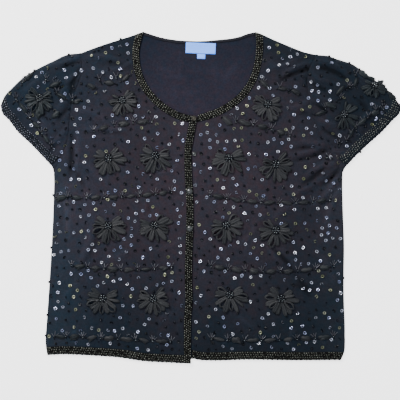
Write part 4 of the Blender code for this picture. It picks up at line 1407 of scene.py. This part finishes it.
# %% Flower tables
# The columns are x and y of a flower's middle in millimetres, its turn in degrees, its size, and its petals
# from its upper left, round below, to its upper right
FLOWERS = (
    (-157, 67, 6, 1.0, "fnofnffofnfff"), (-77, 71.5, -10, 1.0, "ofnfoffwnfnfo"),
    (-157, -47.5, 0, 1.0, "fnowffowffoff"), (-79, -46.5, 12, 1.0, "nfofwfnffoffo"),
    (-166, -170, -6, 1.0, "ffnoffofwfnff"), (-81, -170.5, 8, 0.97, "ofofnffwffoff"),
    (-133.5, 165, 18, 0.88, "nfoffwofnfofn"), (47, 67, -4, 1.0, "ofnfoffwfofnf"),
    (126.5, 57, 10, 1.0, "fofwfnffoffof"), (42.5, -46.5, 14, 1.0, "fnfowffofnffo"),
    (126.5, -55, -12, 1.0, "noffofwffofff"), (49, -164, 4, 1.0, "ofnfwfofnfofn"),
    (135, -170.5, -8, 1.0, "fnofoffffwfnf"), (113, 158, -16, 0.95, "ofofnfwffofnf"),
    (-273, 168.5, -12, 0.9, "fofnfwffofnof"), (242, 141, 40, 0.85, "-o-nonfnf-ffn"),
    (292.5, 189.5, 8, 0.74, "f-fnfwfnffff-"),
)
# The directions of a flower's petals, in degrees from straight down, and how much shorter the upper ones are
PETAL_ANGLES = (-126, -105, -84, -63, -42, -21, 0, 21, 42, 63, 84, 105, 126)
UPPER_PETALS = 0.84
# Each petal's lift in millimetres, what every second petal adds to it, and the most that chance adds
PETAL_LIFT = (0.5, 1.1, 0.5)
# Ribbon on the sleeves is painted darker than on the fronts: painted shade on the puffed sleeves
SLEEVES_START = 190
PAINTED_SLEEVE_SHADE = 0.15

petal_copies = {letter: [] for letter in PETALS}
for flower_x, flower_y, flower_turn, flower_size, letters in FLOWERS:
    for number, (angle, letter) in enumerate(zip(PETAL_ANGLES, letters)):
        if letter not in PETALS:
            continue
        turn = math.radians(angle + flower_turn - 90 + dice.uniform(-7, 7))
        lift = (PETAL_LIFT[0] + PETAL_LIFT[1] * (number % 2) + dice.uniform(0, PETAL_LIFT[2])) * MM
        length = flower_size * dice.uniform(0.84, 1.05) * (UPPER_PETALS if abs(angle) > 90 else 1.0)
        stretch = (length, flower_size * dice.uniform(0.85, 1.3), dice.uniform(0.8, 1.2))
        # Painted shade: petals on the sleeves are darker
        tone = dice.uniform(-0.3, 1.1) - (PAINTED_SLEEVE_SHADE if abs(flower_x) > SLEEVES_START else 0.0)
        laid = set_draped(PETALS[letter], flower_x * MM, flower_y * MM, turn, lift, stretch)
        petal_copies[letter].append((*laid, tone))
for letter, kind in (("f", "flat_petals"), ("n", "slim_petals"), ("o", "open_petals"), ("w", "wide_petals")):
    keep(sew(kind, PETALS[letter], petal_copies[letter], ribbon))

# %% Bead clusters in the flowers
# Rings of beads: how many, the ring's radius, the beads' height and their size. In a small flower the rings
# shrink less than the petals do.
DARK_RINGS = ((17, 6.8, 2.4, 1.35), (13, 5.0, 3.3, 1.35), (8, 3.0, 3.8, 1.35), (3, 1.0, 4.0, 1.3))
BRIGHT_RINGS = ((7, 4.9, 4.9, 0.56), (3, 2.1, 5.4, 0.56))
CLUSTER_LIFT = 0.4
CLUSTER_SHARE = 0.6
dark_copies, bright_copies = [], []
for flower_x, flower_y, _, flower_size, _ in FLOWERS:
    for rings, copies in ((DARK_RINGS, dark_copies), (BRIGHT_RINGS, bright_copies)):
        for count, reach, height, size in rings:
            first = dice.uniform(0, 2 * math.pi)
            for number in range(count):
                angle = first + 2 * math.pi * number / count + dice.uniform(-0.14, 0.14)
                out = (reach + dice.uniform(-0.35, 0.35)) * MM
                out *= CLUSTER_SHARE + (1 - CLUSTER_SHARE) * flower_size
                tilt = (dice.uniform(-0.6, 0.6), dice.uniform(-0.6, 0.6))
                x = flower_x * MM + out * math.cos(angle)
                y = flower_y * MM + out * math.sin(angle)
                put_bead(copies, x, y, size, (height + CLUSTER_LIFT) * MM, angle, tilt)
keep(sew("cluster_dark_beads", BEAD, dark_copies, dark_bead))
keep(sew("cluster_bright_beads", BEAD, bright_copies, pale_bead))

# %% [markdown]
# ## Leaves and sprays
#
# Between the rows of flowers run garlands: a spray of bugles that opens upwards from one bead, then a
# ribbon leaf, then the next spray. A garland is drawn as a soft curve through three places, with even steps
# along it.

# %% Garlands
# The columns are where a garland starts, its middle and its end in millimetres, and how many sprays it has
GARLANDS = (
    ((-182, 113), (-131, 125), (-83, 128.5), 4), ((-226, 0), (-133, 1.5), (-51, 9.5), 7),
    ((-219, -114.5), (-136, -121.5), (-49, -118), 7), ((-228, -235), (-141, -239), (-51, -244), 7),
    ((59.5, 128.5), (104, 120), (151, 105), 4), ((15, 4.5), (116, -8.5), (219, -4), 8),
    ((17, -116), (119, -125), (224, -116), 8), ((17, -239), (117, -241), (224, -235), 8),
    ((-313, 167), (-279, 122), (-254, 88), 4), ((308, 150), (272, 128), (246, 96), 4),
)
# The columns are x and y in millimetres and the angle in degrees
LOOSE_LEAVES = (
    (-127.5, 202.5, 35), (-155.5, 194, -3), (-185.5, 188, -15), (107, 192.5, -32), (138, 184, -3),
    (160, 179, -32), (44, 130, -35), (-247, 191, 20), (219, 156, -20), (236, 182, 55), (-236, 171, -28),
    (-211, 163, 8), (262, 195, 62), (275, 209, -32), (203, 143, 14), (-276, 141, -70), (-246, 140, 30),
    (288, 202.5, -24), (304, 190.5, -62), (323, 173.5, -36), (-292, 205, 42), (-236.5, -0.5, 4),
    (-239, -235.5, 3),
)
LOOSE_SPRAYS = (
    (-172, 200), (-143, 203), (104, 193), (134, 186), (-245, 191), (-262, 200), (210, 151), (297, 148),
    (275, 128), (254, 108), (233, 88), (235, 169), (261, 208), (251, 187), (-218, 166), (-243, 178),
    (214, 68), (-303, 196), (-292, 148), (-244, -1), (-248, -237),
)
# How many more dark beads lie round each spray on the sleeves
CLUMP = 5
# The directions of a spray's bugles, in degrees from straight up
SPRAY_FANS = ((-38, -8, 24), (-30, 6, 36), (-42, -14, 12, 40), (-26, 22), (-34, -4, 18, 44), (-20, 8, 42))


def garland(first, middle, last, count):
    """Places and directions of a garland's sprays and of the leaves between them."""
    first, middle, last = (Vector(place) for place in (first, middle, last))
    bend = 2 * middle - (first + last) / 2

    def curve(t):
        return first * (1 - t) ** 2 + bend * 2 * t * (1 - t) + last * t**2

    sprays = [curve(number / (count - 1)) for number in range(count)]
    leaves = []
    for number in range(count - 1):
        t = (number + 0.5) / (count - 1)
        slope = (bend - first) * 2 * (1 - t) + (last - bend) * 2 * t
        leaves.append((curve(t), math.atan2(slope.y, slope.x)))
    return sprays, leaves


leaf_places = [(x, y, math.radians(angle)) for x, y, angle in LOOSE_LEAVES]
spray_places = list(LOOSE_SPRAYS)
for row in GARLANDS:
    sprays, leaves = garland(*row)
    spray_places += [(place.x, place.y) for place in sprays]
    leaf_places += [(place.x, place.y, angle) for place, angle in leaves]

LEAF_LIFT = 0.5 * MM
# Nearly half of the leaves have a smaller one beside them, which lies a little lower
SECOND_LEAVES = 0.45
SECOND_LIFT = 0.2 * MM
leaf_copies = {kind: [] for kind in LEAVES}
for x, y, angle in leaf_places:
    kind = dice.choice(sorted(LEAVES))
    stretch = (dice.uniform(0.85, 1.25), dice.uniform(0.7, 1.2), dice.uniform(0.7, 1.3))
    turn = angle + math.radians(dice.uniform(-16, 16)) + dice.choice((0, math.pi))
    laid = set_draped(LEAVES[kind], x * MM, y * MM, turn, LEAF_LIFT, stretch)
    # Painted shade: leaves on the sleeves are darker
    shade = PAINTED_SLEEVE_SHADE if abs(x) > SLEEVES_START and y > 0 else 0.0
    leaf_copies[kind].append((*laid, dice.uniform(-0.5, 0.6) - shade))
    if dice.random() < SECOND_LEAVES:
        turn += math.radians(dice.choice((-1, 1)) * dice.uniform(24, 44))
        stretch = (dice.uniform(0.6, 0.8), dice.uniform(0.5, 0.8), 1.0)
        beside = (x + dice.uniform(-4, 4)) * MM
        laid = set_draped(LEAVES["plain"], beside, (y - 2) * MM, turn, SECOND_LIFT, stretch)
        if laid:
            leaf_copies["plain"].append((*laid, dice.uniform(-0.4, 0.4) - shade))
for kind, pattern in LEAVES.items():
    keep(sew(kind + "_leaves", pattern, leaf_copies[kind], ribbon))

# A black bead sits at both ends of every leaf, a little below it: partly a real bead, partly a dark stand-in
# for the shadow under the leaf
KNOT_LIFT = 0.9 * MM
knot_copies = []
for x, y, angle in leaf_places:
    for end in (-1, 1):
        reach = end * dice.uniform(9.0, 11.0)
        bulk = dice.uniform(1.3, 2.0)
        place = Vector((x + reach * math.cos(angle), y + reach * math.sin(angle) - dice.uniform(0, 2))) * MM
        put_bead(knot_copies, place.x, place.y, bulk, KNOT_LIFT)

# The room between a spray's middle and its bugles and half a bugle's length, both in millimetres, and the
# bugles' lift. Then the beads in its middle: how far down each sits, its size and whether it is pale.
SPRAY_ROOM = 2.0
HALF_BUGLE = 4.3
SPRAY_LIFT = 1.4 * MM
SPRAY_BEADS = ((0.6, 0.62, True), (-1.6, 1.5, False), (2.4, 1.3, False))
CLUMP_START = 60
CLUMP_SPREAD = 4
bugle_copies, spray_bead_copies = [], []
for x, y in spray_places:
    lean = dice.uniform(-10, 10)
    for angle in dice.choice(SPRAY_FANS):
        turn = math.radians(90 - angle + lean + dice.uniform(-4, 4))
        stretch = dice.uniform(0.72, 1.1)
        reach = (SPRAY_ROOM + HALF_BUGLE * stretch) * MM
        tilt = (0.0, -dice.uniform(0.08, 0.3))
        place_x, place_y = x * MM + reach * math.cos(turn), y * MM + reach * math.sin(turn)
        put(bugle_copies, set_rigid(LONG_BUGLE, place_x, place_y, turn, SPRAY_LIFT, tilt, (stretch, 1, 1)))
    for drop, bulk, pale_one in SPRAY_BEADS:
        copies = spray_bead_copies if pale_one else knot_copies
        put_bead(copies, (x + dice.uniform(-1, 1)) * MM, (y - drop) * MM, bulk, bulk * MM)
    for _ in range(CLUMP if abs(x) > SLEEVES_START and y > CLUMP_START else 0):
        bulk = dice.uniform(1.2, 1.9)
        place_x = (x + dice.gauss(0, CLUMP_SPREAD)) * MM
        place_y = (y + dice.gauss(0, CLUMP_SPREAD)) * MM
        put_bead(knot_copies, place_x, place_y, bulk, bulk * MM)
keep(sew("spray_bugles", LONG_BUGLE, bugle_copies, pewter_bugle))
keep(sew("spray_beads", BEAD, spray_bead_copies, pale_bead))

# %% [markdown]
# ## Sequins
#
# Cup sequins and black beads are scattered over the free cloth, never quite evenly and no nearer to each
# other than 11 mm. A silver or gold sequin is held by a thread through a small bead in its cup, and each one
# tips its own way, so that some show as full discs and others as crescents. Of all that is scattered, about
# four in ten are silver sequins with a lilac tint, one in eight is gold, one in five is black, and the rest
# are beads.

# %% Scatter sequins and beads
# How far apart two scattered things are at least, how many places are tried, and the room left beside a band
SPACING = 11.3 * MM
TRIES = 14000
BAND_ROOM = 4.5 * MM
AROUND = ((BAND_ROOM, 0), (-BAND_ROOM, 0), (0, BAND_ROOM), (0, -BAND_ROOM))
# What is kept clear: places along a petal, a leaf and a spray, and the room round each, in millimetres. The
# last value places the line that is kept clear beside a cuff's band, which goes from -1 to 1 across.
PETAL_PLACES = (4, 10, 16, 22, 28)
LEAF_PLACES = (-5, 0, 5)
SPRAY_PLACES = (0, 6)
PETAL_ROOM = 6.8
LEAF_ROOM = 6.2
BUGLE_ROOM = 5.5
CUFF_SHARE = -1.4


def free_places():
    """Places on the open cloth, far enough from each other and from what is sewn on already."""
    low, high = cad_box
    taken = []
    for x, y, turn, size, _ in FLOWERS:
        for angle in PETAL_ANGLES:
            way = math.radians(angle + turn - 90)
            for reach in PETAL_PLACES:
                taken.append((x + size * reach * math.cos(way), y + size * reach * math.sin(way), PETAL_ROOM))
    for x, y, turn in leaf_places:
        taken += [(x + step * math.cos(turn), y + step * math.sin(turn), LEAF_ROOM) for step in LEAF_PLACES]
    taken += [(x, y + step, BUGLE_ROOM) for x, y in spray_places for step in SPRAY_PLACES]
    cuffs = [
        (*between(bands[name], row, CUFF_SHARE), BAND_ROOM)
        for name in ("right_cuff_band", "left_cuff_band") for row in range(0, len(bands[name][0]) - 1, 2)
    ]
    taken = np.concatenate([np.array(taken) * MM, cuffs])
    kept = []
    for _ in range(TRIES):
        x, y = dice.uniform(low[0], high[0]), dice.uniform(low[1], high[1])
        found = cloth_at(x, y)
        if not found or not found[2].endswith("_cloth") or found[2] == "back_cloth":
            continue
        if kept and min((x - a) ** 2 + (y - b) ** 2 for a, b in kept) < SPACING**2:
            continue
        if (np.hypot(taken[:, 0] - x, taken[:, 1] - y) < taken[:, 2]).any():
            continue
        around = [cloth_at(x + step_x, y + step_y) for step_x, step_y in AROUND]
        if not all(spot and spot[2].endswith("_cloth") for spot in around):
            continue
        kept.append((x, y))
    return kept


scatter = free_places()
print("scattered things:", len(scatter))
# The shares of silver sequins, of silver and gold ones, and of all sequins; the rest are black beads
SILVER_END, GOLD_END, SEQUINS_END = 0.43, 0.56, 0.76
SEQUIN_LIFT = 0.35 * MM
HELD_LIFT = 0.9 * MM
HELD_SIZE = (1.15, 1.15, 1.0)
LOOSE_LIFT = 1.2 * MM
chosen = {"silver": [], "gold": [], "black": [], "held": [], "black_bead": []}
for x, y in scatter:
    pull = dice.random()
    tone = dice.random()
    tilt = (dice.gauss(0, 0.3), dice.gauss(0, 0.3))
    turn = dice.uniform(0, 6.28)
    if pull < SEQUINS_END:
        color = "silver" if pull < SILVER_END else "gold" if pull < GOLD_END else "black"
        chosen[color].append((*set_rigid(SEQUIN, x, y, turn, SEQUIN_LIFT, tilt), tone))
        if color != "black":
            put(chosen["held"], set_rigid(BEAD, x, y, turn, HELD_LIFT, size=HELD_SIZE))
    else:
        bulk = dice.uniform(1.5, 2.5)
        laid = set_rigid(BEAD, x, y, turn, LOOSE_LIFT, tilt, (bulk, bulk, bulk))
        chosen["black_bead"].append((*laid, tone))

# Beads that stick out past the garment's edge, as x and y in millimetres
EDGE_BUMPS = (
    (-282, 215), (-298, 204), (-291, 209), (-324, 179), (-224, 242), (-181, 248), (-136, 268), (-168, 255),
    (-250, 4), (-255, -85), (-257, -143), (-264, -200), (-264, -234), (217, 239), (224, 235), (251, 228),
    (268, 217), (277, 213), (306, 195), (310, 190), (331, 172), (335, 157), (241, -136), (272, 78),
)
# Each is moved inwards in steps of this length until it lies on cloth
EDGE_WALK = 0.7 * MM
EDGE_BEAD = 2.3
for bump_x, bump_y in EDGE_BUMPS:
    place = Vector((bump_x, bump_y)) * MM
    inwards = -Vector((place.x, place.y / 2)).normalized() * EDGE_WALK
    while cloth_at(place.x, place.y) is None:
        place += inwards
    put_bead(chosen["black_bead"], place.x, place.y, EDGE_BEAD, LOOSE_LIFT)
keep(sew("silver_sequins", SEQUIN, chosen["silver"], silver_sequin))
keep(sew("gold_sequins", SEQUIN, chosen["gold"], gold_sequin))
keep(sew("black_sequins", SEQUIN, chosen["black"], dark_bead))
keep(sew("sequin_beads", BEAD, chosen["held"], smoke_bead))
keep(sew("black_beads", BEAD, chosen["black_bead"] + knot_copies, dark_bead))

# %% [markdown]
# ## Beadwork on the bands
#
# Two zigzags of thin dark bugles cross each other along a band. Pale seed beads are sewn over them in four
# rows, each row half a step from the next. It was sewn by hand, so the beads stand a little out of line and
# some are missing. Dark beads scallop the outer edge of the hem and of the cuffs.

# %% Diamonds of bugles and rows of seed beads
# The length of one diamond, and how far out across the band its corners are
DIAMOND = 13.6 * MM
ZIGZAG_SHARE = 0.84
# Where each bugle of a zigzag starts and ends, as shares of the length of one diamond
BUGLE_PARTS = ((0.03, 0.24), (0.26, 0.47), (0.53, 0.74), (0.76, 0.97))
# Each row of seed beads: its place across the band from -1 to 1, and how far it is shifted, in steps
SEED_ROWS = ((-0.78, 0.0), (-0.26, 0.5), (0.26, 0.0), (0.78, 0.5))
SEED_PITCH = 4.1 * MM
SEED_SIZE = 0.56
MISSING_SEEDS = 0.1
BUGLE_LIFT = 0.3 * MM
SEED_LIFT = 0.7 * MM
# The cuffs are sewn over from a little inside the band, and stay plain along their outer edge
SEWN_RANGES = {"right_cuff_band": (-1.25, 0.75), "left_cuff_band": (-1.7, 0.35)}


def beadwork(name):
    """Copies of bugles and beads for one band."""
    rows = len(bands[name][0]) - 1
    sides = SEWN_RANGES.get(name, (-1, 1))
    band = [[between(bands[name], row, side) for row in range(rows + 1)] for side in sides]
    length = length_of([between(band, row, 0) for row in range(rows + 1)])
    diamonds = max(1, round(length / DIAMOND))
    step = rows / diamonds
    bugles, beads = [], []
    for number in range(diamonds):
        for side in (-1, 1):
            for near, far in BUGLE_PARTS:
                first, last = (
                    between(band, (number + part) * step, side * ZIGZAG_SHARE * (1 - abs(2 * part - 1)))
                    for part in (near, far)
                )
                run = last - first
                middle = (first + last) / 2
                turn = math.atan2(run.y, run.x) + dice.uniform(-0.1, 0.1)
                size = (run.length / SMALL_LENGTH, 1, 1)
                put(bugles, set_rigid(SMALL_BUGLE, middle.x, middle.y, turn, BUGLE_LIFT, size=size))
    count = round(length / SEED_PITCH)
    for share, shift in SEED_ROWS:
        for number in range(count):
            if dice.random() < MISSING_SEEDS:
                continue
            row = (number + 0.25 + shift + dice.uniform(-0.11, 0.11)) * rows / count
            place = between(band, min(row, rows), share + dice.uniform(-0.06, 0.06))
            put_bead(beads, place.x, place.y, SEED_SIZE * dice.uniform(0.75, 1.25), SEED_LIFT)
    return bugles, beads


worked = {"bugles": [], "dark_bugles": [], "seed_beads": [], "frost_beads": []}
for name in strips:
    bugles, beads = beadwork(name)
    worked["dark_bugles" if "cuff" in name else "bugles"] += bugles
    worked["frost_beads" if name == "right_cuff_band" else "seed_beads"] += beads
keep(sew("bugles", SMALL_BUGLE, worked["bugles"], gold_bugle))
keep(sew("dark_bugles", SMALL_BUGLE, worked["dark_bugles"], smoke_bead))
keep(sew("seed_beads", BEAD, worked["seed_beads"], seed_bead))
keep(sew("frost_beads", BEAD, worked["frost_beads"], frost_bead))

# %% Dark beads along the outer edges
# The step from bead to bead, how far out across the band they are, their size and their lift
SCALLOP = 8 * MM
SCALLOP_SHARE = 0.86
SCALLOP_BEAD = 1.7
SCALLOP_LIFT = 0.2 * MM
edge_copies = []
for name in ("right_hem_band", "left_hem_band", "right_cuff_band", "left_cuff_band"):
    band = bands[name]
    rows = len(band[0]) - 1
    length = length_of(band[1])
    for number in range(int(length / SCALLOP)):
        row = (number + 0.5 + dice.uniform(-0.15, 0.15)) * SCALLOP / length * rows
        place = between(band, row, SCALLOP_SHARE)
        put_bead(edge_copies, place.x, place.y, SCALLOP_BEAD, SCALLOP_LIFT)
keep(sew("edge_beads", BEAD, edge_copies, dark_bead))

# %% [markdown]
# ## Buttons
#
# Three small shank buttons sit on the closing band, and one lies beside it on the left front. The lower two
# are domed and shiny with a pearl gloss, and the upper two are small and flatter, with a raised rim. Each
# starts as a disc whose top is inset and pushed up or down ring by ring.

# %% Turned buttons
# Rings after the first disc: inset as a share of the radius, and rise as a share of the height
DOMED = ((0.12, 0.22), (0.2, 0.25), (0.25, 0.2), (0.22, 0.1))
RIMMED = ((0.1, 0.3), (0.14, 0.1), (0.12, -0.35), (0.3, 0.05), (0.2, 0.2))
# The first disc's share of the button's height, and how its edges are rounded and shaded
DISC_SHARE = 0.4
EDGE_WIDTH = 0.25 * MM
EDGE_SEGMENTS = 2
SMOOTH_ANGLE = math.radians(50)


def turned_button(name, node, rings, finish, sides=28):
    """A button in its solid's place: a disc with its top face inset and moved ring by ring."""
    low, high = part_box(node)
    centre = (low + high) / 2
    radius = (high.x - low.x) / 2
    height = high.z - low.z
    bpy.ops.object.select_all(action="DESELECT")
    bpy.ops.mesh.primitive_cylinder_add(
        vertices=sides, radius=radius, depth=height * DISC_SHARE, end_fill_type="NGON",
        location=(centre.x, centre.y, low.z + height * DISC_SHARE / 2),
    )
    button = bpy.context.object
    button.name = name
    bpy.ops.object.transform_apply(location=True, rotation=False, scale=False)
    bpy.ops.object.mode_set(mode="EDIT")
    bpy.ops.mesh.select_mode(type="FACE")
    mesh = bmesh.from_edit_mesh(button.data)
    for face in mesh.faces:
        face.select = face.normal.z > 0.9
    bmesh.update_edit_mesh(button.data)
    for inset, rise in rings:
        bpy.ops.mesh.inset(thickness=inset * radius, depth=0)
        bpy.ops.transform.translate(value=(0, 0, rise * height))
    bpy.ops.mesh.select_mode(type="VERT")
    bpy.ops.object.mode_set(mode="OBJECT")
    edge = button.modifiers.new("edge", "BEVEL")
    edge.width = EDGE_WIDTH
    edge.segments = EDGE_SEGMENTS
    edge.limit_method = "ANGLE"
    bpy.ops.object.modifier_apply(modifier=edge.name)
    bpy.ops.object.shade_smooth_by_angle(angle=SMOOTH_ANGLE)
    button.data.materials.append(finish)
    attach(button, "root")
    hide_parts(node)
    return button


pearl_grey = gloss_finish("pearl_grey", (0.045, 0.05, 0.05), (0.10, 0.105, 0.105), 0.25, 0.3, coat=0.8)
dull_brass = gloss_finish("dull_brass", (0.05, 0.047, 0.036), (0.13, 0.12, 0.09), 0.4, 0.6)
small_brass_button = turned_button("small_brass_button", "button_1", RIMMED, dull_brass)
small_grey_button = turned_button("small_grey_button", "button_2", RIMMED, pearl_grey)
upper_domed_button = turned_button("upper_domed_button", "button_3", DOMED, pearl_grey)
lower_domed_button = turned_button("lower_domed_button", "button_4", DOMED, pearl_grey)

# %% [markdown]
# ## The length of each band
#
# The length along the middle of each band is found once more.


for name, strip in strips.items():
    band = bands[name]
    rows = len(band[0]) - 1
    length = length_of([between(band, row, 0) for row in range(rows + 1)])

# %% Keep both boxes and finish
size = {"cad": cad_box, "visual": [list(corner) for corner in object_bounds()]}
